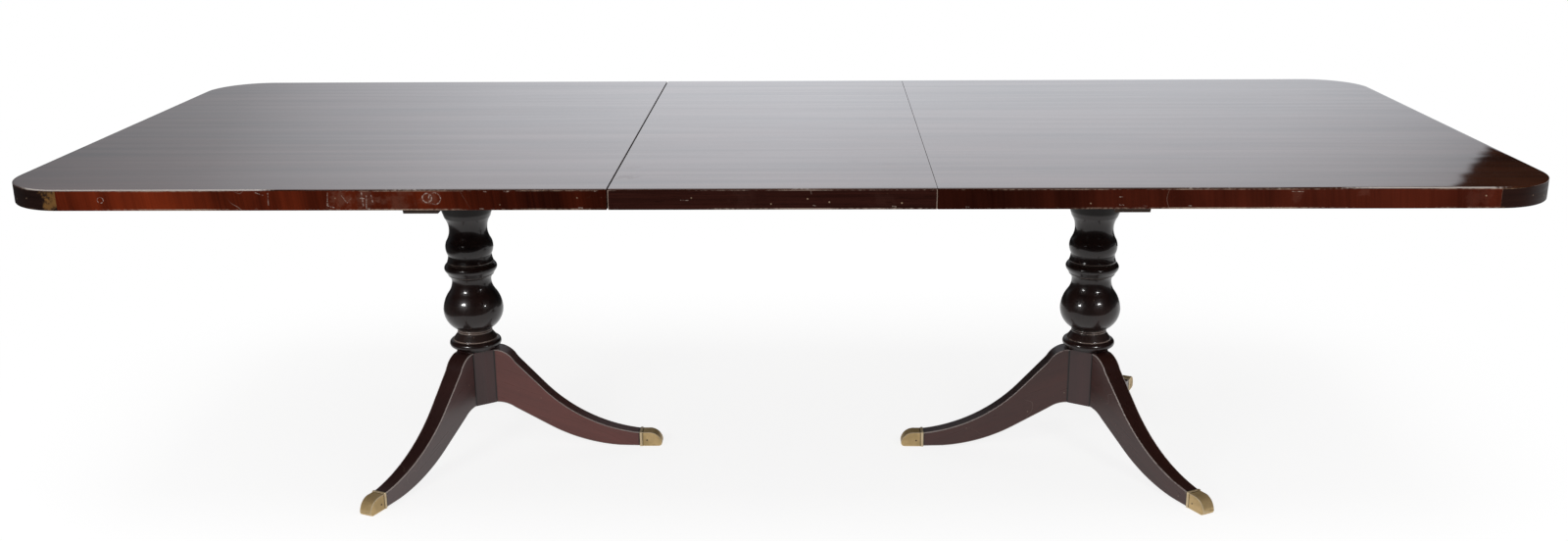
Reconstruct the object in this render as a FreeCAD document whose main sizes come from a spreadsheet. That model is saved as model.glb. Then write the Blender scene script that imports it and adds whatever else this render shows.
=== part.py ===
import FreeCAD, Part
import Sketcher
import os
import re

# Double pedestal dining table: two end tops on turned pedestals, one drop-in leaf, wooden slides.
# Millimetres and degrees. Origin on the floor under the middle of the top,
# +X along the length, -Y the front, +Z up. The right end is drawn in place and
# the left end is the same drawing turned half a turn about Z.

sizes = {
    # whole table
    "table_height": 762,
    "table_width": 1200,
    "end_length": 1155,
    "leaf_opening": 610,
    "left_seam_gap": 2.5,
    "right_seam_gap": 0.6,
    # top and its edge
    "veneer_thickness": 2,
    "core_thickness": 20,
    "edge_height": 38,
    "edge_depth": 45,
    "edge_arris": 2,
    "corner_radius": 130,
    "glue_line": 0.1,
    # slides
    "rail_width": 30,
    "rail_height": 40,
    "rail_length": 1000,
    "rail_reach": 160,
    "rail_offset": 240,
    "rail_gap": 2,
    "middle_length": 920,
    "slide_travel": 300,
    "key_length": 150,
    "key_height": 10,
    "key_depth": 8,
    "slide_clearance": 0.3,
    # screws that hold the rails
    "rail_screw_radius": 2.2,
    "rail_screw_head_radius": 4.5,
    "rail_screw_head_height": 3,
    "rail_screw_recess": 18,
    "rail_screw_bite": 12,
    "screw_clearance": 0.1,
    # bearer
    "bearer_length": 810,
    "bearer_width": 70,
    "bearer_height": 38,
    "bearer_bevel": 16,
    "bearer_screw_radius": 3,
    "bearer_screw_head_radius": 6,
    "bearer_screw_head_height": 4,
    "bearer_screw_bite": 24,
    "bearer_screw_spacing": 28,
    # top block
    "block_width": 160,
    "block_thickness": 30,
    "block_screw_radius": 3.5,
    "block_screw_head_radius": 7,
    "block_screw_head_height": 5,
    "block_screw_bite": 30,
    "block_screw_spacing_along": 34,
    "block_screw_spacing_across": 140,
    # pedestal
    "pedestal_inset": 752,
    "left_front_leg_angle": 113,
    "left_back_leg_angle": 108,
    "right_front_leg_angle": 118,
    "right_back_leg_angle": 115,
    "column_radius": 68,
    "column_tenon_radius": 25,
    "hub_bottom": 114,
    "hub_height": 130,
    "hub_seat": 45,
    # legs
    "leg_width": 46,
    "toe_width": 31,
    "leg_setdown": 1,
    "leg_lift": 1.5,
    "toe_reach": 427,
    "toe_height": 35,
    "dowel_radius": 6,
    "dowel_hub_depth": 20,
    "dowel_leg_depth": 28,
    "dowel_low": 42,
    "dowel_high": 92,
    "dowel_clearance": 0.1,
    # brass toe caps
    "cap_length": 52,
    "cap_wall": 2.5,
    "cap_collar_length": 6,
    "cap_collar_proud": 1.5,
    "cap_nose_length": 24,
    "cap_clearance": 0.3,
    "cap_pin_setback": 17,
    "cap_pin_height": 15,
    "cap_pin_radius": 1.6,
    "cap_pin_length": 10,
    # pegs that line the leaf up
    "peg_radius": 4,
    "peg_seat_depth": 24,
    "peg_reach": 15,
    "peg_spacing": 350,
    "peg_clearance": 0.4,
    # locks under the top
    "lock_edge_inset": 170,
    "lock_pivot_setback": 35,
    "lock_keeper_setback": 30,
    "lock_plate_thickness": 2,
    "lock_plate_length": 40,
    "lock_plate_width": 28,
    "lock_post_radius": 4,
    "lock_post_head_radius": 7,
    "lock_post_head_height": 2.5,
    "lock_post_clearance": 0.08,
    "lock_running_gap": 0.3,
    "lever_thickness": 4,
    "lever_boss_radius": 10,
    "lever_arm_width": 12,
    "lever_head_radius": 11,
    "lever_mouth_angle": 24,
    "keeper_stud_radius": 4,
    "keeper_clearance": 0.5,
    # every cut runs this far past what it cuts
    "overrun": 1,
}

document = FreeCAD.newDocument("pedestal_table")
sheet = document.addObject("Spreadsheet::Sheet", "Sizes")
for row, (alias, amount) in enumerate(sizes.items(), start=1):
    sheet.set("A%d" % row, alias)
    sheet.set("B%d" % row, str(amount))
    sheet.setAlias("B%d" % row, alias)
document.recompute()

# levels and places worked out from the sizes, as text for expressions
panel_bottom = "(table_height - veneer_thickness - core_thickness)"
rail_bottom = "(%s - rail_height)" % panel_bottom
bearer_bottom = "(%s - bearer_height)" % rail_bottom
block_bottom = "(%s - block_thickness)" % bearer_bottom
hub_top = "(hub_bottom + hub_height)"
edge_top = "(table_height - veneer_thickness)"
edge_bottom = "(%s - edge_height)" % edge_top
seam = "(leaf_opening / 2)"
end_face = "(leaf_opening / 2 + end_length)"
pedestal_place = "(%s - pedestal_inset)" % end_face
core_inset = "(edge_depth + glue_line)"
cap_start = "(toe_reach - cap_length)"
socket_depth = "(cap_length - cap_nose_length)"
rail_pitch = "(rail_width + rail_gap)"
rail_start = "(%s - rail_reach)" % seam

nodes = []


def bound(text):
    """Points every alias in an expression at its cell."""
    def cell(match):
        word = match.group()
        return "Sizes." + word if word in sizes else word
    return re.sub(r"[a-z]\w*", cell, text)


def number(text):
    result = sheet.evalExpression(bound(text))
    return float(getattr(result, "Value", result))


def bind(thing, **properties):
    """Binds properties to expressions; a double underscore stands for a dot."""
    for name, text in properties.items():
        thing.setExpression(name.replace("__", "."), bound(text))


def keep(thing, name):
    thing.Label = name
    nodes.append(thing)
    return thing


def stand(thing, side, x="0", y="0", z="0", turn="0"):
    """Places a piece drawn for the right end; on the left it turns half a turn about Z."""
    sign = "" if side == "right" else "-"
    half_turn = "0" if side == "right" else "180"
    bind(thing, Placement__Base__x="%s(%s)" % (sign, x),
         Placement__Base__y="%s(%s)" % (sign, y),
         Placement__Base__z=z,
         Placement__Rotation__Angle="%s + %s" % (turn, half_turn))
    return thing


def side_name(side, place):
    """What is in front on the right end comes to the back on the left one."""
    return place if side == "right" else {"front": "back", "back": "front"}[place]


def new_body(name):
    return keep(document.addObject("PartDesign::Body", name), name)


def new_sketch(body, plane, lift="0"):
    """Adds a sketch on one of the body's own origin planes, moved along the plane's normal."""
    sketch = body.newObject("Sketcher::SketchObject", body.Label + "_outline")
    support = [part for part in body.Origin.OriginFeatures if part.Role == plane][0]
    sketch.AttachmentSupport = [(support, "")]
    sketch.MapMode = "FlatFace"
    bind(sketch, AttachmentOffset__Base__z=lift)
    return sketch


def pin_point(sketch, geometry, position, point):
    """Holds one point of the sketch at two bound distances from the sketch origin."""
    for kind, text in zip(("DistanceX", "DistanceY"), point):
        index = sketch.addConstraint(
            Sketcher.Constraint(kind, -1, 1, geometry, position, number(text)))
        sketch.setExpression("Constraints[%d]" % index, bound(text))


def vector(point):
    return FreeCAD.Vector(number(point[0]), number(point[1]), 0)


def draw(sketch, corners):
    """Draws a closed outline. A corner is (x, y); a third word "via" makes it a point that
    the arc between its two neighbours passes through."""
    ends = [corner for corner in corners if len(corner) == 2]
    vias = []
    for index, corner in enumerate(corners):
        if len(corner) == 2:
            following = corners[(index + 1) % len(corners)]
            vias.append(following if len(following) == 3 else None)
    starts, stops = [], []
    for index, via in enumerate(vias):
        first = vector(ends[index])
        last = vector(ends[(index + 1) % len(ends)])
        if via is None:
            geometry = sketch.addGeometry(Part.LineSegment(first, last))
            starts.append((geometry, 1))
            stops.append((geometry, 2))
            continue
        middle = vector(via)
        anticlockwise = (middle - first).cross(last - middle).z > 0
        arc = Part.Arc(first, middle, last) if anticlockwise else Part.Arc(last, middle, first)
        geometry = sketch.addGeometry(arc)
        starts.append((geometry, 1 if anticlockwise else 2))
        stops.append((geometry, 2 if anticlockwise else 1))
        mark = sketch.addGeometry(Part.Point(middle), True)
        pin_point(sketch, mark, 1, via)
        sketch.addConstraint(Sketcher.Constraint("PointOnObject", mark, 1, geometry))
    for index, start in enumerate(starts):
        stop = stops[index - 1]
        sketch.addConstraint(Sketcher.Constraint("Coincident", *stop, *start))
        pin_point(sketch, *start, ends[index])
    return sketch


def draw_rectangle(sketch, low, high):
    return draw(sketch, [low, (high[0], low[1]), high, (low[0], high[1])])


def draw_circles(sketch, centres, radius):
    for centre in centres:
        circle = Part.Circle(vector(centre), FreeCAD.Vector(0, 0, 1), number(radius))
        geometry = sketch.addGeometry(circle)
        pin_point(sketch, geometry, 3, centre)
        index = sketch.addConstraint(Sketcher.Constraint("Radius", geometry, number(radius)))
        sketch.setExpression("Constraints[%d]" % index, bound(radius))
    return sketch


def raise_pad(body, sketch, length):
    pad = body.newObject("PartDesign::Pad", body.Label + "_pad")
    pad.Profile = sketch
    bind(pad, Length=length)
    return pad


def sink(body, sketch, depth, along_normal):
    """Cuts a pocket along or against the sketch normal and checks that it took material away."""
    document.recompute()
    before = body.Shape.Volume
    pocket = body.newObject("PartDesign::Pocket", body.Label + "_pocket")
    pocket.Profile = sketch
    pocket.Reversed = along_normal
    bind(pocket, Length=depth)
    document.recompute()
    if body.Shape.Volume >= before:
        raise RuntimeError("a pocket in %s cuts nothing" % body.Label)
    return pocket


def revolve(body, sketch, axis, angle):
    turned = body.newObject("PartDesign::Revolution", body.Label + "_turning")
    turned.Profile = sketch
    turned.ReferenceAxis = (sketch, [axis])
    bind(turned, Angle=angle)
    return turned


def cylinder(name, radius, height, x, y, z, angle="360"):
    piece = document.addObject("Part::Cylinder", name)
    bind(piece, Radius=radius, Height=height, Angle=angle,
         Placement__Base__x=x, Placement__Base__y=y, Placement__Base__z=z)
    return piece


def box(name, low, lengths):
    piece = document.addObject("Part::Box", name)
    bind(piece, Length=lengths[0], Width=lengths[1], Height=lengths[2],
         Placement__Base__x=low[0], Placement__Base__y=low[1], Placement__Base__z=low[2])
    return piece


def fuse(name, pieces):
    joined = document.addObject("Part::MultiFuse", name)
    joined.Shapes = pieces
    joined.Refine = True
    return joined


def cut(name, base, tool):
    result = document.addObject("Part::Cut", name)
    result.Base = base
    result.Tool = tool
    return result


def group(name, pieces):
    """Puts several separate solids into one node."""
    compound = document.addObject("Part::Compound", name)
    compound.Links = pieces
    return keep(compound, name)


def screw(name, x, y, seat, radius, length, head_radius, head_height):
    """A screw pointing up, its head hanging below the seat."""
    shank = cylinder(name + "_shank", radius, length, x, y, seat)
    head = cylinder(name + "_head", head_radius, head_height, x, y, "%s - %s" % (seat, head_height))
    return fuse(name, [shank, head])


# tops

def draw_end_outline(sketch, inset):
    """The end top: square at the seam, two round corners at the far end."""
    half = "(table_width / 2 - %s)" % inset
    far = "(%s - %s)" % (end_face, inset)
    radius = "(corner_radius - %s)" % inset
    diagonal = "(%s * (1 - cos(45)))" % radius
    return draw(sketch, [
        (seam, "-" + half),
        ("%s - %s" % (far, radius), "-" + half),
        ("%s - %s" % (far, diagonal), "-%s + %s" % (half, diagonal), "via"),
        (far, "-%s + %s" % (half, radius)),
        (far, "%s - %s" % (half, radius)),
        ("%s - %s" % (far, diagonal), "%s - %s" % (half, diagonal), "via"),
        ("%s - %s" % (far, radius), half),
        (seam, half),
    ])


def peg_places():
    return ["-peg_spacing", "0", "peg_spacing"]


# middle lines of an end's two rails, written for the right end
rail_lines = {"front": "-rail_offset", "back": "(rail_offset - 2 * %s)" % rail_pitch}
rail_screw_shares = [0.20, 0.80]


def rail_screw_places():
    """Along each rail: two between seam and bearer, two between bearer and the rail's far end."""
    bearer_near = "(%s - bearer_width / 2)" % pedestal_place
    bearer_far = "(%s + bearer_width / 2)" % pedestal_place
    rail_end = "(%s + rail_length)" % rail_start
    return ["(%s + %s * (%s - %s))" % (low, share, high, low)
            for low, high in ((seam, bearer_near), (bearer_far, rail_end))
            for share in rail_screw_shares]


def make_end_panel(side):
    body = new_body(side + "_top_panel")
    veneer = draw_end_outline(new_sketch(body, "XY_Plane", edge_top), "0")
    raise_pad(body, veneer, "veneer_thickness")
    core = draw_end_outline(new_sketch(body, "XY_Plane", panel_bottom), core_inset)
    raise_pad(body, core, "core_thickness")
    pegs = new_sketch(body, "YZ_Plane", seam)
    draw_circles(pegs, [(y, panel_bottom + " + core_thickness / 2") for y in peg_places()],
                 "peg_radius + screw_clearance")
    sink(body, pegs, "peg_seat_depth", True)
    screws = new_sketch(body, "XY_Plane", panel_bottom)
    draw_circles(screws, [(x, y) for x in rail_screw_places() for y in rail_lines.values()],
                 "rail_screw_radius + screw_clearance")
    sink(body, screws, "rail_screw_bite + screw_clearance", True)
    stand(body, side)


def draw_edge_section(sketch, outer, inward):
    """Edge strip section: outer face at outer, body towards inward, lower outer arris taken off."""
    inner = "(%s %s edge_depth)" % (outer, inward)
    eased = "(%s %s edge_arris)" % (outer, inward)
    return draw(sketch, [
        (inner, edge_top),
        (inner, edge_bottom),
        (eased, edge_bottom),
        (outer, edge_bottom + " + edge_arris"),
        (outer, edge_top),
    ])


def make_end_edges(side):
    """Front, back and end strips and the two corner blocks between them."""
    straight = "(end_length - corner_radius)"
    for place, outer, inward in (("front", "-table_width / 2", "+"), ("back", "table_width / 2", "-")):
        named = side_name(side, place)
        strip = new_body("%s_%s_edge" % (side, named))
        raise_pad(strip, draw_edge_section(new_sketch(strip, "YZ_Plane", seam), outer, inward), straight)
        stand(strip, side)
        corner = new_body("%s_%s_corner" % (side, named))
        section = draw_edge_section(new_sketch(corner, "XZ_Plane"), "corner_radius", "-")
        revolve(corner, section, "V_Axis", "90")
        centre = "(table_width / 2 - corner_radius)"
        stand(corner, side, x=end_face + " - corner_radius",
              y=("-" if place == "front" else "") + centre,
              turn="0" if place == "back" else "-90")
    strip = new_body(side + "_end_edge")
    section = new_sketch(strip, "XZ_Plane", "-(table_width / 2 - corner_radius)")
    raise_pad(strip, draw_edge_section(section, end_face, "-"), "table_width - 2 * corner_radius")
    stand(strip, side)


def make_leaf():
    left = "(left_seam_gap - %s)" % seam
    right = "(%s - right_seam_gap)" % seam
    half = "(table_width / 2)"
    body = new_body("leaf_panel")
    veneer = new_sketch(body, "XY_Plane", edge_top)
    raise_pad(body, draw_rectangle(veneer, (left, "-" + half), (right, half)), "veneer_thickness")
    core = new_sketch(body, "XY_Plane", panel_bottom)
    core_half = "(%s - %s)" % (half, core_inset)
    raise_pad(body, draw_rectangle(core, (left, "-" + core_half), (right, core_half)), "core_thickness")
    slot_half = "(peg_radius + peg_clearance)"
    for edge, inner in ((left, "-%s + peg_reach + peg_clearance" % seam),
                        (right, "%s - peg_reach - peg_clearance" % seam)):
        for y in peg_places():
            slot = new_sketch(body, "XY_Plane", panel_bottom)
            draw_rectangle(slot, (edge, "%s - %s" % (y, slot_half)), (inner, "%s + %s" % (y, slot_half)))
            sink(body, slot, "core_thickness / 2 + %s" % slot_half, True)
    for place, outer, inward in (("front", "-" + half, "+"), ("back", half, "-")):
        strip = new_body("leaf_%s_edge" % place)
        section = draw_edge_section(new_sketch(strip, "YZ_Plane", left), outer, inward)
        raise_pad(strip, section, "%s - %s" % (right, left))


def make_pegs(side):
    pegs = []
    for index, y in enumerate(peg_places()):
        name = "%s_peg_%d" % (side, index)
        peg = document.addObject("Part::Cylinder", name)
        bind(peg, Radius="peg_radius", Height="peg_seat_depth + peg_reach",
             Placement__Base__x="%s - peg_reach" % seam, Placement__Base__y=y,
             Placement__Base__z=panel_bottom + " + core_thickness / 2")
        peg.Placement.Rotation = FreeCAD.Rotation(FreeCAD.Vector(0, 1, 0), 90)
        pegs.append(peg)
    stand(group(side + "_leaf_pegs", pegs), side)


# slides

def make_rails(side):
    """Two rails for each end, grooved on the side of the middle member, screwed to the top."""
    groove_stop = "(middle_length / 2 - key_length - slide_travel / 2 - slide_clearance)"
    for place, y in rail_lines.items():
        body = new_body("%s_%s_rail" % (side, side_name(side, place)))
        low = "(%s - rail_width / 2)" % y
        face = "(%s + rail_width / 2)" % y
        section = new_sketch(body, "YZ_Plane", rail_start)
        raise_pad(body, draw_rectangle(section, (low, rail_bottom), (face, panel_bottom)), "rail_length")
        groove = new_sketch(body, "YZ_Plane", rail_start + " + rail_length")
        groove_low = "(%s + rail_height / 2 - key_height / 2)" % rail_bottom
        draw_rectangle(groove,
                       ("%s - key_depth - slide_clearance" % face, groove_low + " - slide_clearance"),
                       (face + " + overrun", groove_low + " + key_height + slide_clearance"))
        sink(body, groove, "%s + rail_length - %s" % (rail_start, groove_stop), False)
        centres = [(x, y) for x in rail_screw_places()]
        recess = draw_circles(new_sketch(body, "XY_Plane", rail_bottom), centres,
                              "rail_screw_head_radius + screw_clearance")
        sink(body, recess, "rail_screw_recess", True)
        hole = draw_circles(new_sketch(body, "XY_Plane", rail_bottom), centres,
                            "rail_screw_radius + screw_clearance")
        sink(body, hole, "rail_height", True)
        stand(body, side)
    screws = []
    for place, y in rail_lines.items():
        for index, x in enumerate(rail_screw_places()):
            screws.append(screw("%s_%s_rail_screw_%d" % (side, place, index), x, y,
                                rail_bottom + " + rail_screw_recess", "rail_screw_radius",
                                "rail_height - rail_screw_recess + rail_screw_bite",
                                "rail_screw_head_radius", "rail_screw_head_height"))
    stand(group(side + "_rail_screws", screws), side)


def make_slide_middles():
    """A bar between each pair of rails, with a key on each side at opposite ends."""
    middle = "(rail_offset - %s)" % rail_pitch
    key_low = "(%s + rail_height / 2 - key_height / 2)" % rail_bottom
    for place, y in (("front", "-" + middle), ("back", middle)):
        name = place + "_slide_middle"
        low, high = "(%s - rail_width / 2)" % y, "(%s + rail_width / 2)" % y
        bar = box(name + "_bar", ("-middle_length / 2", low, rail_bottom),
                  ("middle_length", "rail_width", "rail_height"))
        reach = "(rail_gap + key_depth)"
        right_key = box(name + "_right_key",
                        ("middle_length / 2 - key_length", "%s - %s" % (low, reach), key_low),
                        ("key_length", reach, "key_height"))
        left_key = box(name + "_left_key", ("-middle_length / 2", high, key_low),
                       ("key_length", reach, "key_height"))
        keep(fuse(name, [bar, right_key, left_key]), name)


# bearers and top blocks

def bearer_screw_places():
    half = "bearer_screw_spacing / 2"
    return [("%s %s %s" % (pedestal_place, sign, half), y)
            for sign in "-+" for y in rail_lines.values()]


def block_screw_places():
    along, across = "block_screw_spacing_along / 2", "block_screw_spacing_across / 2"
    return [("%s %s %s" % (pedestal_place, sign, along), "%s%s" % (other, across))
            for sign in "-+" for other in ("-", "")]


def make_bearer(side):
    body = new_body(side + "_bearer")
    half = "(bearer_length / 2)"
    section = new_sketch(body, "YZ_Plane", pedestal_place + " - bearer_width / 2")
    draw(section, [
        ("-%s + bearer_bevel" % half, bearer_bottom),
        ("%s - bearer_bevel" % half, bearer_bottom),
        (half, rail_bottom),
        ("-" + half, rail_bottom),
    ])
    raise_pad(body, section, "bearer_width")
    rail_holes = draw_circles(new_sketch(body, "XY_Plane", bearer_bottom), bearer_screw_places(),
                              "bearer_screw_radius + screw_clearance")
    sink(body, rail_holes, "bearer_height", True)
    recess = draw_circles(new_sketch(body, "XY_Plane", bearer_bottom), bearer_screw_places(),
                          "bearer_screw_head_radius + screw_clearance")
    sink(body, recess, "bearer_screw_head_height", True)
    block_holes = draw_circles(new_sketch(body, "XY_Plane", bearer_bottom), block_screw_places(),
                               "block_screw_radius + screw_clearance")
    sink(body, block_holes, "block_screw_bite + screw_clearance", True)
    stand(body, side)
    for place in ("front", "back"):
        rail = document.getObjectsByLabel("%s_%s_rail" % (side, place))[0]
        line = rail_lines[side_name(side, place)]
        centres = [spot for spot in bearer_screw_places() if spot[1] == line]
        holes = draw_circles(new_sketch(rail, "XY_Plane", rail_bottom), centres,
                             "bearer_screw_radius + screw_clearance")
        sink(rail, holes, "bearer_screw_bite + screw_clearance", True)
    screws = [screw("%s_bearer_screw_%d" % (side, index), x, y,
                    bearer_bottom + " + bearer_screw_head_height", "bearer_screw_radius",
                    "bearer_height - bearer_screw_head_height + bearer_screw_bite",
                    "bearer_screw_head_radius", "bearer_screw_head_height")
              for index, (x, y) in enumerate(bearer_screw_places())]
    stand(group(side + "_bearer_screws", screws), side)


def make_top_block(side):
    body = new_body(side + "_top_block")
    half = "block_width / 2"
    plan = new_sketch(body, "XY_Plane", block_bottom)
    draw_rectangle(plan, ("%s - %s" % (pedestal_place, half), "-" + half),
                   ("%s + %s" % (pedestal_place, half), half))
    raise_pad(body, plan, "block_thickness")
    mortise = draw_circles(new_sketch(body, "XY_Plane", block_bottom), [(pedestal_place, "0")],
                           "column_tenon_radius + dowel_clearance")
    sink(body, mortise, "block_thickness", True)
    holes = draw_circles(new_sketch(body, "XY_Plane", block_bottom), block_screw_places(),
                         "block_screw_radius + screw_clearance")
    sink(body, holes, "block_thickness", True)
    stand(body, side)
    screws = [screw("%s_block_screw_%d" % (side, index), x, y, block_bottom, "block_screw_radius",
                    "block_thickness + block_screw_bite", "block_screw_head_radius",
                    "block_screw_head_height")
              for index, (x, y) in enumerate(block_screw_places())]
    stand(group(side + "_block_screws", screws), side)


# pedestals

# the turning from the hub up: radius as a share of column_radius, height as a share of the
# length between hub and top block; "via" marks the middle of an arc
column_shares = [
    (0.680, 0.000), (0.680, 0.010),
    (0.770, 0.012), (0.868, 0.034, "via"), (0.770, 0.056),
    (0.735, 0.056), (0.735, 0.062),
    (0.650, 0.082, "via"), (0.567, 0.101),
    (0.588, 0.106, "via"), (0.557, 0.111),
    (0.578, 0.116, "via"), (0.553, 0.121),
    (0.868, 0.168, "via"), (1.000, 0.245),
    (0.938, 0.299, "via"), (0.800, 0.345),
    (0.694, 0.379, "via"), (0.655, 0.415),
    (0.678, 0.438, "via"), (0.740, 0.454),
    (0.760, 0.454), (0.760, 0.460),
    (0.835, 0.480), (0.876, 0.498, "via"), (0.835, 0.516),
    (0.790, 0.527), (0.768, 0.527), (0.768, 0.535),
    (0.732, 0.546, "via"), (0.721, 0.562),
    (0.790, 0.616, "via"), (0.745, 0.660),
    (0.630, 0.735, "via"), (0.758, 0.805),
    (0.925, 0.897),
    (1.040, 0.928, "via"), (0.950, 0.959),
    (0.950, 1.000),
]


def leg_turns(side):
    """Directions of the three legs, about the column's own axis."""
    inner = "180" if side == "right" else "0"
    front, back = ("+", "-") if side == "right" else ("-", "+")
    return {"inner": inner, "front": "(%s %s %s_front_leg_angle)" % (inner, front, side),
            "back": "(%s %s %s_back_leg_angle)" % (inner, back, side)}


def stand_at_column(thing, side, turn="0"):
    """Puts a piece drawn about the column's axis under its own end."""
    sign = "" if side == "right" else "-"
    bind(thing, Placement__Base__x=sign + pedestal_place, Placement__Rotation__Angle=turn)
    return thing


def dowel_levels():
    return ["(hub_bottom + dowel_low)", "(hub_bottom + dowel_high)"]


def make_column(side):
    body = new_body(side + "_column")
    length = "(%s - %s)" % (block_bottom, hub_top)
    turning = [("0", bearer_bottom), ("0", hub_top)]
    for row in column_shares:
        point = ("%s * column_radius" % row[0], "%s + %s * %s" % (hub_top, row[1], length))
        turning.append(point + tuple(row[2:]))
    turning += [("column_tenon_radius", block_bottom), ("column_tenon_radius", bearer_bottom)]
    revolve(body, draw(new_sketch(body, "XZ_Plane"), turning), "V_Axis", "360")
    half = "leg_width / 2"
    plan = []
    for turn in sorted(leg_turns(side).values(), key=lambda text: number(text) % 360):
        for sign, other in (("+", "-"), ("-", "+")):
            plan.append(("hub_seat * cos(%s) %s %s * sin(%s)" % (turn, sign, half, turn),
                         "hub_seat * sin(%s) %s %s * cos(%s)" % (turn, other, half, turn)))
    raise_pad(body, draw(new_sketch(body, "XY_Plane", "hub_bottom"), plan), "hub_height")
    for turn in leg_turns(side).values():
        seat = new_sketch(body, "YZ_Plane", "hub_seat * cos(%s)" % turn)
        seat.AttachmentOffset.Rotation = FreeCAD.Rotation(FreeCAD.Vector(0, 1, 0), number(turn))
        bind(seat, AttachmentOffset__Base__x="hub_seat * sin(%s)" % turn)
        draw_circles(seat, [("0", level) for level in dowel_levels()], "dowel_radius + dowel_clearance")
        sink(body, seat, "dowel_hub_depth + dowel_clearance", False)
    stand_at_column(body, side)


# leg side outline: out from the hub as a share of the leg's length, and up as a share of the
# rise from the toe, for the top edge and then for the underside
leg_top_shares = [(0.000, 1.000), (0.026, 1.000), (0.093, 0.952, "via"), (0.141, 0.861),
                  (0.318, 0.560), (0.523, 0.279, "via"), (1.000, 0.000)]
leg_under_shares = [(1.000, 0.000), (0.870, 0.012), (0.580, 0.186, "via"), (0.370, 0.467),
                    (0.125, 0.885), (0.064, 0.975, "via"), (0.000, 1.000)]


def drill_pin_holes(body, depth):
    """One hole from each side for the pins that hold a toe cap."""
    for sign, along_normal in (("-", True), ("", False)):
        pin = draw_circles(new_sketch(body, "XZ_Plane", "%s(toe_width / 2)" % sign),
                           [(cap_start + " + cap_pin_setback", "cap_pin_height")],
                           "cap_pin_radius + screw_clearance")
        sink(body, pin, depth, along_normal)


def taper_leg(body):
    """Planes both sides in, from the full width at the hub to the toe's width at the cap."""
    plan = new_sketch(body, "XY_Plane", hub_top)
    for sign in ("", "-"):
        full, toe = sign + "(leg_width / 2)", sign + "(toe_width / 2)"
        clear = sign + "(leg_width / 2 + overrun)"
        past = "(%s + overrun)" % cap_start
        draw(plan, [("hub_seat", full), (cap_start, toe), (past, toe), (past, clear), ("hub_seat", clear)])
    sink(body, plan, hub_top, False)


def make_leg(side, place):
    body = new_body("%s_%s_leg" % (side, place))
    length = "(%s - hub_seat)" % cap_start
    rises = ((leg_top_shares, "toe_height", "(%s - leg_setdown)" % hub_top),
             (leg_under_shares, "leg_lift", "hub_bottom"))
    profile = []
    for shares, toe, top in rises:
        for row in shares:
            point = ("hub_seat + %s * %s" % (row[0], length), "%s + %s * (%s - %s)" % (toe, row[1], top, toe))
            profile.append(point + tuple(row[2:]))
    start = "-leg_width / 2"
    raise_pad(body, draw(new_sketch(body, "XZ_Plane", start), profile), "leg_width")
    taper_leg(body)
    inside = "(cap_wall + cap_clearance)"
    tenon = new_sketch(body, "YZ_Plane", cap_start)
    draw_rectangle(tenon, ("-toe_width / 2 + %s" % inside, inside),
                   ("toe_width / 2 - %s" % inside, "toe_height - %s" % inside))
    raise_pad(body, tenon, socket_depth + " - cap_clearance")
    dowels = draw_circles(new_sketch(body, "YZ_Plane", "hub_seat"), [("0", z) for z in dowel_levels()],
                          "dowel_radius + dowel_clearance")
    sink(body, dowels, "dowel_leg_depth + dowel_clearance", True)
    drill_pin_holes(body, "cap_pin_length + screw_clearance")
    stand_at_column(body, side, leg_turns(side)[place])


# toe cap side outline: along the cap as a share of its length, and up as a share of its height
cap_shares = [(0.000, 0.000), (0.860, 0.000), (0.965, 0.075, "via"), (1.000, 0.260),
              (0.800, 0.800, "via"), (0.360, 1.000), (0.000, 1.000)]


def make_toe_cap(side, place):
    body = new_body("%s_%s_toe_cap" % (side, place))
    half = "(toe_width / 2)"
    profile = []
    for row in cap_shares:
        point = ("%s + %s * cap_length" % (cap_start, row[0]), "%s * toe_height" % row[1])
        profile.append(point + tuple(row[2:]))
    raise_pad(body, draw(new_sketch(body, "XZ_Plane", "-" + half), profile), "toe_width")
    collar = new_sketch(body, "YZ_Plane", cap_start)
    draw_rectangle(collar, ("-%s - cap_collar_proud" % half, "0"),
                   ("%s + cap_collar_proud" % half, "toe_height + cap_collar_proud"))
    raise_pad(body, collar, "cap_collar_length")
    socket = new_sketch(body, "YZ_Plane", cap_start)
    draw_rectangle(socket, ("-%s + cap_wall" % half, "cap_wall"),
                   ("%s - cap_wall" % half, "toe_height - cap_wall"))
    sink(body, socket, socket_depth, True)
    drill_pin_holes(body, "cap_wall")
    stand_at_column(body, side, leg_turns(side)[place])


def make_toe_pins(side):
    """Two pins through the sides of each toe cap into the leg."""
    pins = []
    for place, turn in leg_turns(side).items():
        for sign in ("-", "+"):
            name = "%s_%s_toe_pin_%s" % (side, place, "right" if sign == "-" else "left")
            pin = document.addObject("Part::Cylinder", name)
            bind(pin, Radius="cap_pin_radius", Height="cap_pin_length")
            across = FreeCAD.Rotation(FreeCAD.Vector(1, 0, 0), 90 if sign == "+" else -90)
            pin.Placement.Rotation = across
            bind(pin, Placement__Base__x=cap_start + " + cap_pin_setback",
                 Placement__Base__y="%stoe_width / 2" % sign, Placement__Base__z="cap_pin_height")
            pair = document.addObject("Part::Compound", name + "_turned")
            pair.Links = [pin]
            bind(pair, Placement__Rotation__Angle=turn)
            pins.append(pair)
    stand_at_column(group(side + "_toe_pins", pins), side)


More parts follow.
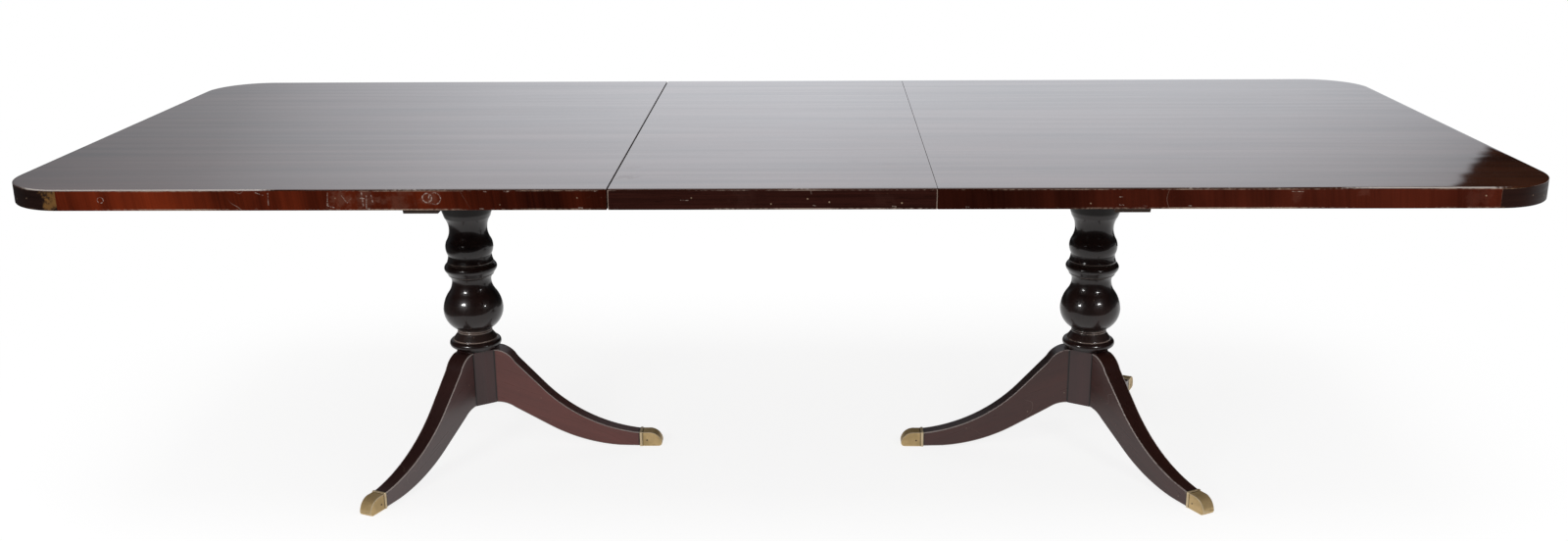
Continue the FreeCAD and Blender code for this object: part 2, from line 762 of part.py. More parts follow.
def make_leg_dowels(side):
    """Two dowels through each joint between hub and leg."""
    dowels = []
    for place, turn in leg_turns(side).items():
        for index, level in enumerate(dowel_levels()):
            name = "%s_%s_dowel_%d" % (side, place, index)
            dowel = document.addObject("Part::Cylinder", name)
            bind(dowel, Radius="dowel_radius", Height="dowel_hub_depth + dowel_leg_depth",
                 Placement__Base__x="hub_seat - dowel_hub_depth", Placement__Base__z=level)
            dowel.Placement.Rotation = FreeCAD.Rotation(FreeCAD.Vector(0, 1, 0), 90)
            turned = document.addObject("Part::Compound", name + "_turned")
            turned.Links = [dowel]
            bind(turned, Placement__Rotation__Angle=turn)
            dowels.append(turned)
    stand_at_column(group(side + "_leg_dowels", dowels), side)


# locks

post_bottom = "(%s - lock_plate_thickness - lever_thickness - 2 * lock_running_gap)" % panel_bottom
lever_bottom = "(%s - lock_plate_thickness - lever_thickness - lock_running_gap)" % panel_bottom
lock_line = "(table_width / 2 - lock_edge_inset)"
lock_reach = "(lock_pivot_setback + lock_keeper_setback)"
pivot_place = "(%s + lock_pivot_setback)" % seam
keeper_place = "(%s - lock_keeper_setback)" % seam


def make_lock_plates(side):
    plates = []
    for place, y in (("front", "-" + lock_line), ("back", lock_line)):
        name = "%s_%s_lock_plate" % (side, place)
        plate = box(name + "_sheet",
                    (pivot_place + " - lock_plate_length / 2", "%s - lock_plate_width / 2" % y,
                     panel_bottom + " - lock_plate_thickness"),
                    ("lock_plate_length", "lock_plate_width", "lock_plate_thickness"))
        post = cylinder(name + "_post", "lock_post_radius",
                        panel_bottom + " - %s" % post_bottom, pivot_place, y, post_bottom)
        head = cylinder(name + "_head", "lock_post_head_radius", "lock_post_head_height",
                        pivot_place, y, post_bottom + " - lock_post_head_height")
        plates.append(fuse(name, [plate, post, head]))
    stand(group(side + "_lock_plates", plates), side)


def make_keepers():
    keepers = []
    for end, x in (("left", "-" + keeper_place), ("right", keeper_place)):
        for place, y in (("front", "-" + lock_line), ("back", lock_line)):
            name = "%s_%s_keeper" % (end, place)
            plate = box(name + "_sheet",
                        ("%s - lock_plate_width / 2" % x, "%s - lock_plate_width / 2" % y,
                         panel_bottom + " - lock_plate_thickness"),
                        ("lock_plate_width", "lock_plate_width", "lock_plate_thickness"))
            stud = cylinder(name + "_stud", "keeper_stud_radius", panel_bottom + " - %s" % post_bottom,
                            x, y, post_bottom)
            keepers.append(fuse(name, [plate, stud]))
    group("leaf_lock_keepers", keepers)


def make_lever(side, place):
    """A flat lever on its post: drawn along +X from the pivot, with a hooked head whose mouth
    follows the arc that the head swings through."""
    name = "%s_%s_lock_lever" % (side, place)
    swing = "-" if (side, place) in (("right", "front"), ("left", "back")) else ""
    thick = "lever_thickness"
    deep = "(lever_thickness + 2 * overrun)"
    low = "-overrun"
    boss = cylinder(name + "_boss", "lever_boss_radius", thick, "0", "0", "0")
    arm = box(name + "_arm", ("0", "-lever_arm_width / 2", "0"), (lock_reach, "lever_arm_width", thick))
    head = cylinder(name + "_head", "lever_head_radius", thick, lock_reach, "0", "0")
    blank = fuse(name + "_blank", [boss, arm, head])
    hole = cylinder(name + "_hole", "lock_post_radius + lock_post_clearance", deep, "0", "0", low)
    room = "(keeper_stud_radius + keeper_clearance)"
    seat = cylinder(name + "_seat", room, deep, lock_reach, "0", low)
    wide = cylinder(name + "_mouth_outer", "%s + %s" % (lock_reach, room), deep,
                    "0", "0", low, "lever_mouth_angle")
    narrow = cylinder(name + "_mouth_inner", "%s - %s" % (lock_reach, room), deep,
                      "0", "0", low, "lever_mouth_angle")
    mouth = cut(name + "_mouth", wide, narrow)
    if swing == "-":
        bind(mouth, Placement__Rotation__Angle="-lever_mouth_angle")
    tools = fuse(name + "_cutters", [hole, seat, mouth])
    lever = keep(cut(name, blank, tools), name)
    sign = "" if side == "right" else "-"
    outward = "-" if place == "front" else ""
    bind(lever, Placement__Base__x=sign + pivot_place, Placement__Base__y=outward + lock_line,
         Placement__Base__z=lever_bottom, Placement__Rotation__Angle=outward + "90")


for end in ("left", "right"):
    make_end_panel(end)
    make_end_edges(end)
    make_rails(end)
    make_bearer(end)
    make_top_block(end)
    make_column(end)
    for leg in ("inner", "front", "back"):
        make_leg(end, leg)
        make_toe_cap(end, leg)
    make_toe_pins(end)
    make_leg_dowels(end)
    make_pegs(end)
    make_lock_plates(end)
    for lock in ("front", "back"):
        make_lever(end, lock)
make_slide_middles()
make_leaf()
make_keepers()
document.recompute()

for thing in document.Objects:
    if "Invalid" in thing.State or "Error" in thing.State:
        raise RuntimeError("%s failed: %s" % (thing.Label, thing.State))
for node in nodes:
    if node.Shape.isNull() or not node.Shape.isValid():
        raise RuntimeError("%s has no valid shape" % node.Label)

os.makedirs("parts", exist_ok=True)
for node in nodes:
    node.Shape.exportStep("parts/%s.step" % node.Label)
print("%d nodes, %d solids" % (len(nodes), sum(len(node.Shape.Solids) for node in nodes)))
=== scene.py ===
from math import cos, pi, radians, sin
import bmesh
import bpy
import numpy as np
from mathutils import Matrix, Vector


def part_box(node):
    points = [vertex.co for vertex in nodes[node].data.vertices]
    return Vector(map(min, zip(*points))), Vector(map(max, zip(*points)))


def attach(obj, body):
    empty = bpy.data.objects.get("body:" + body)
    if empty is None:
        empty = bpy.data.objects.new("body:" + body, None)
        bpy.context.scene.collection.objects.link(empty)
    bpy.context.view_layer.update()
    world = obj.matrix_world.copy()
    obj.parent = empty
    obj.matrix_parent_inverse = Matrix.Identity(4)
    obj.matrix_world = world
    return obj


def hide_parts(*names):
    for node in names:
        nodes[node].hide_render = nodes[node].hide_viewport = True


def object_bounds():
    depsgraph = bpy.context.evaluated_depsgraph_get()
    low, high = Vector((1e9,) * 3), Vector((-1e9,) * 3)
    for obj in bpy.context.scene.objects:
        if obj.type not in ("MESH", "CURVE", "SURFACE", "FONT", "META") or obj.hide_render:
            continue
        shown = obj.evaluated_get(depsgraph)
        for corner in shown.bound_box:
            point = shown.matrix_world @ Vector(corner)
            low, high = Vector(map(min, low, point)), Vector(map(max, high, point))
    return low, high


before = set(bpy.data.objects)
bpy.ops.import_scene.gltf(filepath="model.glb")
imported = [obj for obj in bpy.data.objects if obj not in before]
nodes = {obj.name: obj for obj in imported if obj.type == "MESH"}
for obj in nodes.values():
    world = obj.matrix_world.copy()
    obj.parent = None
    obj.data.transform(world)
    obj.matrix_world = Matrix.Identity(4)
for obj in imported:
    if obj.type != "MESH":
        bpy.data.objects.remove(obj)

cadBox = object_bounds()
scene = bpy.context.scene
sides = {"left": -1, "right": 1}
facings = {"front": -1, "back": 1}
bodies = {"left": "left_end", "leaf": "leaf", "right": "right_end"}
up = np.array((0.0, 0.0, 1.0))
print("frame:", len(nodes), "nodes")


# the photographer's place, in metres and radians
view = {"place": (0.0805, -3.2902, 1.4080), "pitchDown": 0.2898, "yaw": -0.0218, "roll": -0.0073,
        "lens": 34.582, "sensor": 36.0}


def setCamera():
    pitch, yaw, roll = view["pitchDown"], view["yaw"], view["roll"]
    ahead = Vector((sin(yaw) * cos(pitch), cos(yaw) * cos(pitch), -sin(pitch)))
    level = ahead.cross(Vector((0, 0, 1))).normalized()
    right = level * cos(roll) + level.cross(ahead) * sin(roll)
    turn = Matrix((right, right.cross(ahead), -ahead)).transposed()
    lens = bpy.data.cameras.new("photoCamera")
    lens.lens = view["lens"]
    lens.sensor_width = view["sensor"]
    camera = bpy.data.objects.new("photoCamera", lens)
    camera.matrix_world = Matrix.Translation(view["place"]) @ turn.to_4x4()
    scene.collection.objects.link(camera)
    scene.camera = camera


setCamera()
scene.view_settings.view_transform = "Standard"
print("camera set")


# node helpers: inputs take a value or another node's output

def setInputs(tree, node, inputs):
    for name, value in inputs.items():
        if isinstance(value, bpy.types.NodeSocket):
            tree.links.new(value, node.inputs[name])
        else:
            node.inputs[name].default_value = value


def addNode(tree, kind, inputs=None, **settings):
    node = tree.nodes.new("ShaderNode" + kind)
    for name, value in settings.items():
        setattr(node, name, value)
    setInputs(tree, node, inputs or {})
    return node.outputs


def calc(tree, operation, first, second=0.0, third=0.0, clamp=False):
    inputs = {0: first, 1: second, 2: third}
    return addNode(tree, "Math", inputs, operation=operation, use_clamp=clamp)[0]


def times(tree, first, *others):
    for other in others:
        first = calc(tree, "MULTIPLY", first, other)
    return first


def vec(tree, operation, first, second=(0.0, 0.0, 0.0)):
    outputs = addNode(tree, "VectorMath", {0: first, 1: second}, operation=operation)
    return outputs["Value" if operation in ("LENGTH", "DOT_PRODUCT") else "Vector"]


def scaled(tree, vector, amount):
    return addNode(tree, "VectorMath", {0: vector, "Scale": amount}, operation="SCALE")["Vector"]


def blend(tree, factor, first, second, kind="MIX"):
    inputs = {0: factor, 6: first, 7: second}
    return addNode(tree, "Mix", inputs, data_type="RGBA", blend_type=kind)[2]


def mixShader(tree, factor, first, second):
    return addNode(tree, "MixShader", {0: factor, 1: first, 2: second})[0]


def fade(tree, value, low, high, toLow=0.0, toHigh=1.0):
    inputs = {0: value, 1: low, 2: high, 3: toLow, 4: toHigh}
    return addNode(tree, "MapRange", inputs, interpolation_type="SMOOTHSTEP")[0]


def noise(tree, place, scale, detail=3.0, roughness=0.55, distortion=0.0):
    # a single scale counts for all three axes
    sizes = scale if isinstance(scale, tuple) else (scale,) * 3
    vector = addNode(tree, "Mapping", {"Vector": place, "Scale": sizes})[0]
    return addNode(tree, "TexNoise", {"Vector": vector, "Scale": 1.0, "Detail": detail,
                                      "Roughness": roughness, "Distortion": distortion})["Fac"]


def ramp(tree, factor, stops):
    output = addNode(tree, "ValToRGB", {0: factor})[0]
    marks = output.node.color_ramp.elements
    for index, (place, level) in enumerate(stops):
        mark = marks[index] if index < len(marks) else marks.new(place)
        mark.position = place
        mark.color = (level, level, level, 1.0)
    return output


def split(tree, vector):
    return addNode(tree, "SeparateXYZ", {0: vector})


def stored(tree, name, output="Fac"):
    return addNode(tree, "Attribute", attribute_name=name)[output]


def rgb(color):
    return (*color, 1.0)


def newMaterial(name):
    material = bpy.data.materials.new(name)
    material.use_nodes = True
    return material, material.node_tree, material.node_tree.nodes["Principled BSDF"]


def effect(name, inputs, *outputs):
    # a node group, filled by the function below it: an input of None is a vector, a tuple is a colour
    def build(fill):
        group = bpy.data.node_groups.new(name, "ShaderNodeTree")
        for label, value in inputs.items():
            kind = "Vector" if value is None else "Color" if isinstance(value, tuple) else "Float"
            socket = group.interface.new_socket(label, in_out="INPUT", socket_type="NodeSocket" + kind)
            if value is not None:
                socket.default_value = value
        for label in outputs:
            kind = "Color" if label == "Color" else "Float"
            group.interface.new_socket(label, in_out="OUTPUT", socket_type="NodeSocket" + kind)
        given = group.nodes.new("NodeGroupInput").outputs
        end = group.nodes.new("NodeGroupOutput")
        setInputs(group, end, dict(zip(outputs, fill(group, given))))
        return group
    return build


def useGroup(tree, group, inputs):
    return addNode(tree, "Group", inputs, node_tree=group)


# studio: white sweep behind the table, a darker room on the photographer's side
studio = {
    "lightLevel": 0.50, "white": 1.0, "whiteColor": rgb((1, 1, 1)), "tint": (0.94, 0.97, 1.03),
    # degrees round from straight behind the table, and how bright a gloss sees it
    "sweep": [(-180, 0.01), (-120, 0.01), (-80, 0.08), (-45, 0.14), (-31.0, 0.25), (-23.0, 0.43),
              (-19.5, 0.60), (-13.0, 0.86), (-6.9, 1.00), (-0.8, 1.05), (4.3, 0.99), (11.4, 0.94),
              (16.4, 0.86), (20.5, 0.72), (22.0, 0.65), (23.0, 0.60), (24.5, 0.50), (26.0, 0.45)],
    "beyond": [(24, 0.004), (50, 0.004), (85, 0.08), (120, 0.01), (180, 0.01)],
    "sweepEnd": (23.70, 24.08), "ripple": 0.014, "rippleScale": 320.0, "rippleDetail": 2.0,
    "sweepLean": 0.62, "sweepMiddle": 0.20, "sweepLow": 0.16, "sweepTop": 0.62, "ceiling": 0.05,
    "floorSize": 30.0, "floorColor": (0.90, 0.90, 0.90), "floorDrop": 0.0006, "floorSeen": 2.0,
    "shadowShare": 0.16, "shadowNear": 1.2, "shadowFar": 2.4,
    "sheet": 0.85, "sheetFront": -1.25, "frontDark": 0.02, "sheetSide": -1.35, "sideDark": 0.1,
    "sheetFade": 0.4,
    "flagPlace": 1.7, "flagHeight": 0.70, "flagHalf": 3.0, "flagColor": (0.03, 0.03, 0.03)}


def setWorld():
    world = bpy.data.worlds.new("studio")
    world.use_nodes = True
    scene.world = world
    tree = world.node_tree
    tree.nodes.clear()
    ray = addNode(tree, "LightPath")
    direction = addNode(tree, "TexCoord")["Generated"]
    x, y, z = split(tree, direction)
    # the sweep's side edges lean, so a higher ray meets them sooner, and its right end is a rippled sheet's
    lean = calc(tree, "MULTIPLY_ADD", z, studio["sweepLean"], -studio["sweepLean"] * studio["sweepMiddle"])
    turn = calc(tree, "ADD", calc(tree, "ARCTAN2", x, y), lean)
    share = calc(tree, "MULTIPLY_ADD", turn, 0.5 / pi, 0.5)
    sweep, beyond = (ramp(tree, share, [((angle + 180) / 360, level) for angle, level in studio[part]])
                     for part in ("sweep", "beyond"))
    folds = noise(tree, direction, (0.0, 0.0, studio["rippleScale"]), studio["rippleDetail"])
    rippled = calc(tree, "MULTIPLY_ADD", calc(tree, "SUBTRACT", folds, 0.5), studio["ripple"], turn)
    ended = fade(tree, rippled, *np.radians(studio["sweepEnd"]))
    walls = blend(tree, 1.0, blend(tree, ended, sweep, beyond), rgb(studio["tint"]), "MULTIPLY")
    height = fade(tree, z, studio["sweepLow"], studio["sweepTop"], 1.0, studio["ceiling"])
    shiny = calc(tree, "MAXIMUM", ray["Is Glossy Ray"], ray["Is Transmission Ray"])
    soft = addNode(tree, "Background", {"Strength": studio["lightLevel"]})[0]
    gloss = addNode(tree, "Background", {"Color": walls, "Strength": height})[0]
    white = addNode(tree, "Background", {"Color": studio["whiteColor"], "Strength": studio["white"]})[0]
    shown = mixShader(tree, ray["Is Camera Ray"], mixShader(tree, shiny, soft, gloss), white)
    addNode(tree, "OutputWorld", {"Surface": shown})


def stageSheet(name, corners, material):
    mesh = bpy.data.meshes.new(name)
    mesh.from_pydata(corners, [], [(0, 1, 2, 3)])
    mesh.materials.append(material)
    sheet = bpy.data.objects.new(name, mesh)
    scene.collection.objects.link(sheet)
    return sheet


def setFloor():
    # a square sheet: seen directly it is white, with the table's shadow let through near the table,
    # and a gloss sees it white under the table and dark towards the photographer
    material, tree, _ = newMaterial("paleFloor")
    tree.nodes.clear()
    ray = addNode(tree, "LightPath")
    seen = ray["Is Camera Ray"]
    place = addNode(tree, "TexCoord")["Object"]
    plain = fade(tree, vec(tree, "LENGTH", place), studio["shadowNear"], studio["shadowFar"],
                 1 - studio["shadowShare"], 1.0)
    across, depth, _ = split(tree, place)
    front, side, soft = studio["sheetFront"], studio["sheetSide"], studio["sheetFade"]
    ahead = fade(tree, depth, front - soft, front, studio["frontDark"], studio["sheet"])
    beside = fade(tree, across, side - soft, side, studio["sideDark"], 1.0)
    sheet = times(tree, ahead, beside)
    brighter = calc(tree, "MULTIPLY_ADD", seen, studio["floorSeen"] - 1, 1.0)
    matt = addNode(tree, "BsdfDiffuse", {"Color": scaled(tree, studio["floorColor"], brighter)})[0]
    white, mirrored = (addNode(tree, "Emission", {"Color": studio["whiteColor"], "Strength": strength})[0]
                       for strength in (studio["white"], sheet))
    direct = mixShader(tree, times(tree, plain, seen), matt, white)
    shiny = calc(tree, "MAXIMUM", ray["Is Glossy Ray"], ray["Is Transmission Ray"])
    mixed = mixShader(tree, shiny, direct, mirrored)
    # from below the camera looks through it, to the underside of the table
    below = times(tree, addNode(tree, "NewGeometry")["Backfacing"], seen)
    shown = mixShader(tree, below, mixed, addNode(tree, "BsdfTransparent")[0])
    addNode(tree, "OutputMaterial", {"Surface": shown})
    half, drop = studio["floorSize"] / 2, -studio["floorDrop"]
    corners = [(-half, -half, drop), (half, -half, drop), (half, half, drop), (-half, half, drop)]
    stageSheet("floor", corners, material)


def setFlag():
    # a low dark card behind the table, which only a gloss sees, keeps the tops of the legs dark
    material, tree, skin = newMaterial("darkFlag")
    setInputs(tree, skin, {"Base Color": rgb(studio["flagColor"]), "Roughness": 1.0})
    half, back, top = studio["flagHalf"], studio["flagPlace"], studio["flagHeight"]
    corners = [(-half, back, 0), (half, back, 0), (half, back, top), (-half, back, top)]
    flag = stageSheet("flag", corners, material)
    flag.visible_camera = False
    flag.visible_diffuse = False
    flag.visible_shadow = False


# soft boxes: place, what they point at, width, height, watts
lamps = {"frontLeft": ((-1.72, -1.82, 1.38), (-0.7, 0.0, 0.36), 0.44, 0.32, 4.6),
         "softLeft": ((-1.74, -1.86, 1.47), (-0.7, 0.0, 0.36), 1.00, 0.50, 4.4),
         "frontRight": ((1.31, -1.10, 1.05), (0.7, 0.0, 0.36), 0.24, 0.22, 1.4),
         "softRight": ((1.33, -1.14, 1.11), (0.7, 0.0, 0.36), 0.60, 0.32, 1.3),
         "columnLeft": ((-1.72, -1.82, 1.41), (-0.7, 0.0, 0.36), 0.50, 0.24, 24.0),
         "columnRight": ((1.31, -1.10, 1.06), (0.7, 0.0, 0.36), 0.26, 0.18, 7.0),
         "overhead": ((0.0, -0.6, 3.2), (0.0, 0.0, 0.0), 3.4, 2.2, 46)}


def setLamps():
    for name, (place, target, width, height, watts) in lamps.items():
        lamp = bpy.data.lights.new(name, "AREA")
        lamp.shape = "RECTANGLE"
        lamp.size = width
        lamp.size_y = height
        lamp.energy = watts
        holder = bpy.data.objects.new(name, lamp)
        aim = (Vector(target) - Vector(place)).to_track_quat("-Z", "Y")
        holder.matrix_world = Matrix.Translation(place) @ aim.to_matrix().to_4x4()
        holder.visible_camera = False
        scene.collection.objects.link(holder)


def linkLamps(names, label, pieces, state):
    # lamps that leave these pieces out, or that light only them
    linked = bpy.data.collections.new(label)
    for piece in pieces:
        linked.objects.link(piece)
    for entry in linked.collection_objects:
        entry.light_linking.link_state = state
    for name in names:
        bpy.data.objects[name].light_linking.receiver_collection = linked


setWorld()
setFloor()
setFlag()
setLamps()
print("studio set")


# shared effects: a noise is its scale, detail, roughness and distortion; a range is where a fade runs
grainLook = {"streaks": ((2.0, 260.0, 260.0), 5.0, 0.65, 0.15), "bands": ((0.9, 26.0, 26.0), 3.0, 0.6, 0.4),
             "patches": ((3.5, 7.0, 7.0), 2.0), "pores": ((26.0, 900.0, 900.0), 2.0),
             "waves": ((0.7, 22.0, 22.0), 0.6), "poreRange": (0.60, 0.70), "streakHeight": 0.5}


@effect("woodGrain", {"Place": None, "Dark": rgb((0, 0, 0)), "Light": rgb((1, 1, 1)), "Streak": 1.0,
                      "Band": 1.0, "Patch": 0.5, "Pores": 0.5},
        "Color", "Height", "Streaks", "Bands", "Waves")
def woodGrain(group, given):
    # tone = a half, plus fine streaks, broad bands and patches, each a noise about its middle times its
    # weight, all drawn out along the first coordinate; short dark pores lie over it
    streaks, bands, patches, pores, waves = (noise(group, given["Place"], *grainLook[layer])
                                             for layer in ("streaks", "bands", "patches", "pores", "waves"))
    tone = 0.5
    for source, weight in ((streaks, "Streak"), (bands, "Band"), (patches, "Patch")):
        offset = calc(group, "SUBTRACT", source, 0.5)
        tone = calc(group, "MULTIPLY_ADD", offset, given[weight], tone, clamp=True)
    sunk = times(group, fade(group, pores, *grainLook["poreRange"]), given["Pores"])
    color = blend(group, tone, given["Dark"], given["Light"])
    color = blend(group, sunk, color, given["Dark"], "MULTIPLY")
    height = calc(group, "MULTIPLY_ADD", streaks, grainLook["streakHeight"], times(group, sunk, -1.0))
    return color, height, streaks, bands, waves


wearLook = {"long": (4.0, 2.0), "short": (130.0, 3.0), "longShare": 0.7, "hardShare": 0.4,
            "through": (-0.06, 0.10), "sharp": (0.35, 0.95)}


@effect("edgeWear", {"Arris": 0.0, "Place": None, "Amount": 0.5}, "Mask")
def edgeWear(group, given):
    # rubbed stretches along an arris: the arris itself, let through in patches, and more of it above 1
    long, short = (noise(group, given["Place"], *wearLook[layer]) for layer in ("long", "short"))
    mixed = calc(group, "MULTIPLY_ADD", long, wearLook["longShare"],
                 times(group, short, 1 - wearLook["longShare"]))
    hard = calc(group, "MAXIMUM", calc(group, "SUBTRACT", given["Arris"], 1.0), 0.0)
    limit = calc(group, "SUBTRACT", calc(group, "SUBTRACT", 1.0, given["Amount"]),
                 times(group, hard, wearLook["hardShare"]))
    through = fade(group, calc(group, "SUBTRACT", mixed, limit), *wearLook["through"])
    return [times(group, fade(group, given["Arris"], *wearLook["sharp"]), through)]


scuffLook = {"wander": ((7.0, 11.0, 11.0), 1.5), "hair": 0.0025, "some": ((5.0, 9.0, 9.0), 2.0),
             "someRange": (0.58, 0.68), "chipScale": 75.0, "chipSize": (0.16, 0.06),
             "chipRange": (0.90, 0.92)}


@effect("scuffs", {"Place": None, "Amount": 0.5}, "Scratches", "Chips")
def scuffs(group, given):
    # hair scratches where a soft noise crosses its middle, and small chips at scattered points
    wander, some = (noise(group, given["Place"], *scuffLook[layer]) for layer in ("wander", "some"))
    near = calc(group, "ABSOLUTE", calc(group, "SUBTRACT", wander, 0.5))
    spots = addNode(group, "TexVoronoi", {"Vector": given["Place"], "Scale": scuffLook["chipScale"]})
    picked = addNode(group, "SeparateColor", {0: spots["Color"]})[0]
    hairs = times(group, fade(group, near, scuffLook["hair"], 0.0),
                  fade(group, some, *scuffLook["someRange"]))
    chips = times(group, fade(group, spots["Distance"], *scuffLook["chipSize"]),
                  fade(group, picked, *scuffLook["chipRange"]))
    return [times(group, marks, given["Amount"]) for marks in (hairs, chips)]


dustLook = {"upward": (0.55, 0.95), "film": (9.0, 5.0, 0.7), "filmRange": (0.35, 0.75)}


@effect("dust", {"Place": None, "Amount": 0.3}, "Mask")
def dust(group, given):
    # a thin uneven film on what faces up
    lies = fade(group, split(group, addNode(group, "NewGeometry")["Normal"])[2], *dustLook["upward"])
    film = fade(group, noise(group, given["Place"], *dustLook["film"]), *dustLook["filmRange"])
    return [times(group, lies, film, given["Amount"])]


markLook = {"line": (0.3, 1.0), "rub": (190.0, 4.0, 0.7), "rubRange": (0.42, 0.60),
            "push": (60.0, 4.0, 0.6), "pushShare": 4.0, "rim": (2.2, 3.0), "strength": 0.75}


def rubbedLine(group, given, gap):
    # a line as wide as its width, rubbed through by a fine noise
    line = fade(group, calc(group, "DIVIDE", gap, given["Width"]), *markLook["line"], 1.0, 0.0)
    through = fade(group, noise(group, given["Place"], *markLook["rub"]), *markLook["rubRange"])
    return [times(group, line, through)]


def fromCentre(group, given):
    return vec(group, "LENGTH", vec(group, "SUBTRACT", given["Place"], given["Centre"]))


@effect("scuffStroke", {"Place": None, "From": None, "To": None, "Width": 0.001}, "Mask")
def scuffStroke(group, given):
    # a scratch: how far a point is from the straight line between two others
    run = vec(group, "SUBTRACT", given["To"], given["From"])
    offset = vec(group, "SUBTRACT", given["Place"], given["From"])
    along, length = (vec(group, "DOT_PRODUCT", other, run) for other in (offset, run))
    share = calc(group, "DIVIDE", along, length, clamp=True)
    gap = vec(group, "LENGTH", vec(group, "SUBTRACT", offset, scaled(group, run, share)))
    return rubbedLine(group, given, gap)


@effect("scuffRing", {"Place": None, "Centre": None, "Radius": 0.01, "Width": 0.001}, "Mask")
def scuffRing(group, given):
    # a round scuff: how far a point is from a circle about a centre
    gap = calc(group, "SUBTRACT", fromCentre(group, given), given["Radius"])
    return rubbedLine(group, given, calc(group, "ABSOLUTE", gap))


@effect("scuffSpot", {"Place": None, "Centre": None, "Radius": 0.01}, "Mask")
def scuffSpot(group, given):
    # a rubbed patch: a soft ball about a centre, its rim pushed about by a noise
    gap = calc(group, "DIVIDE", fromCentre(group, given), given["Radius"])
    push = noise(group, given["Place"], *markLook["push"])
    rim = calc(group, "MULTIPLY_ADD", push, markLook["pushShare"], gap)
    return [fade(group, rim, *markLook["rim"], 1.0, 0.0)]


print("effects made")


# wood finishes: grain colours and weights (streaks, bands, patches, pores), gloss, how worn each one is;
# shade lists places along X and how bright the colour is there, and the top has places along X where its
# arris is worn paler, a painted highlight
# the top's pale arris wear is partly real wear and partly a painted highlight, strongest at the listed
# places along X
topFinish = {
    "dark": (0.024, 0.0078, 0.0040), "light": (0.090, 0.0270, 0.0115), "grain": (1.6, 1.4, 0.8, 0.35),
    "rough": (0.025, 0.040), "bump": 0.15, "specular": 0.5, "coat": (0.48, 0.62), "coatRough": 0.015,
    "wear": 0.36, "wearColor": (0.62, 0.56, 0.52), "scuff": 0.16, "dust": 0.02,
    "arrisHighlightAlong": [(-1.42, 0.0), (-1.34, 1.0), (-1.00, 1.0), (-0.88, 0.0), (1.00, 0.0), (1.14, 0.8),
                    (1.26, 0.8), (1.34, 0.0)]}
plainEdge = {
    "grain": (0.7, 1.1, 1.7, 0.3), "rough": (0.36, 0.46), "bump": 0.08, "specular": 0.05, "coat": 0.0,
    "coatRough": 0.2, "wear": 0.46, "wearColor": (0.34, 0.24, 0.18), "scuff": 0.5, "dust": 0.0}
edgeFinish = {
    "left": {**plainEdge, "dark": (0.060, 0.0070, 0.0016), "light": (0.270, 0.0330, 0.0070),
             "shade": [(-1.33, 0.78), (-1.16, 0.74), (-0.95, 0.66), (-0.62, 0.54), (-0.50, 0.38),
                       (-0.33, 0.27)]},
    "leaf": {**plainEdge, "dark": (0.018, 0.0042, 0.0028), "light": (0.052, 0.0130, 0.0086),
             "grain": (2.2, 0.6, 0.6, 0.8), "rough": (0.36, 0.48), "bump": 0.12, "wear": 0.50,
             "wearColor": (0.36, 0.27, 0.22), "scuff": 0.9},
    "right": {**plainEdge, "dark": (0.036, 0.0050, 0.0018), "light": (0.150, 0.0230, 0.0090), "scuff": 0.6,
              "shade": [(0.32, 0.26), (0.48, 0.34), (0.62, 0.56), (0.95, 0.56), (1.20, 0.54)]}}
plainCorner = {
    **plainEdge, "grain": (1.0, 1.2, 1.2, 0.4), "rough": (0.34, 0.46), "specular": 0.12, "wear": 0.44,
    "wearColor": (0.26, 0.17, 0.10), "scuff": 0.4}
cornerFinish = {
    "left": {**plainCorner, "dark": (0.007, 0.0030, 0.0024), "light": (0.022, 0.0095, 0.0070)},
    "right": {**plainCorner, "dark": (0.009, 0.0034, 0.0025), "light": (0.029, 0.0102, 0.0070)}}
columnFinish = {
    "dark": (0.0026, 0.0013, 0.0011), "light": (0.017, 0.0062, 0.0050), "grain": (0.6, 1.2, 1.4, 0.2),
    "rough": (0.30, 0.40), "bump": 0.02, "specular": 0.22, "coat": 0.62, "coatRough": 0.08,
    "wear": 0.64, "wearColor": (0.15, 0.110, 0.092), "scuff": 0.15, "dust": 0.01}
# the legs' pale arris wear is partly real rubbing and partly a painted highlight along the arrises
plainLeg = {
    "grain": (0.6, 0.9, 1.4, 0.25), "rough": (0.27, 0.38), "bump": 0.04, "specular": 0.5, "coat": 0.15,
    "coatRough": 0.2, "wear": 0.62, "wearColor": (0.52, 0.44, 0.41), "scuff": 0.45, "dust": 0.0}
# lit and shaded copies of one mahogany: the left legs are painted lighter and the right ones and the front
# left one darker, painted light and shade
legShadedCopies = {
    "left": {**plainLeg, "dark": (0.130, 0.0360, 0.0280), "light": (0.240, 0.0700, 0.0560)},
    "leftFront": {**plainLeg, "dark": (0.052, 0.0190, 0.0175), "light": (0.104, 0.0385, 0.0350),
                  "coat": 0.5, "coatRough": 0.16},
    "right": {**plainLeg, "dark": (0.048, 0.0130, 0.0095), "light": (0.098, 0.0270, 0.0200)}}
hubFinish = {**plainLeg, "dark": (0.026, 0.0086, 0.0080), "light": (0.052, 0.0170, 0.0160)}
underFinish = {
    "dark": (0.020, 0.0090, 0.0050), "light": (0.070, 0.034, 0.018), "grain": (1.6, 1.2, 0.8, 0.5),
    "rough": (0.55, 0.75), "bump": 0.25, "specular": 0.3, "coat": 0.0, "coatRough": 0.3,
    "wear": 0.0, "scuff": 0.2, "dust": 0.10}
woodLook = {"dustColor": (0.36, 0.33, 0.30), "scratchColor": (0.34, 0.25, 0.20),
            "chipColor": (0.42, 0.30, 0.20), "grimeColor": (0.006, 0.003, 0.002), "grimeRange": (0.1, 0.9),
            "grainRange": (0.3, 0.7), "arrisHighlightShare": 0.5, "dustRough": 0.4, "dullRough": 0.3,
            "relief": 0.0004, "span": 3.0}

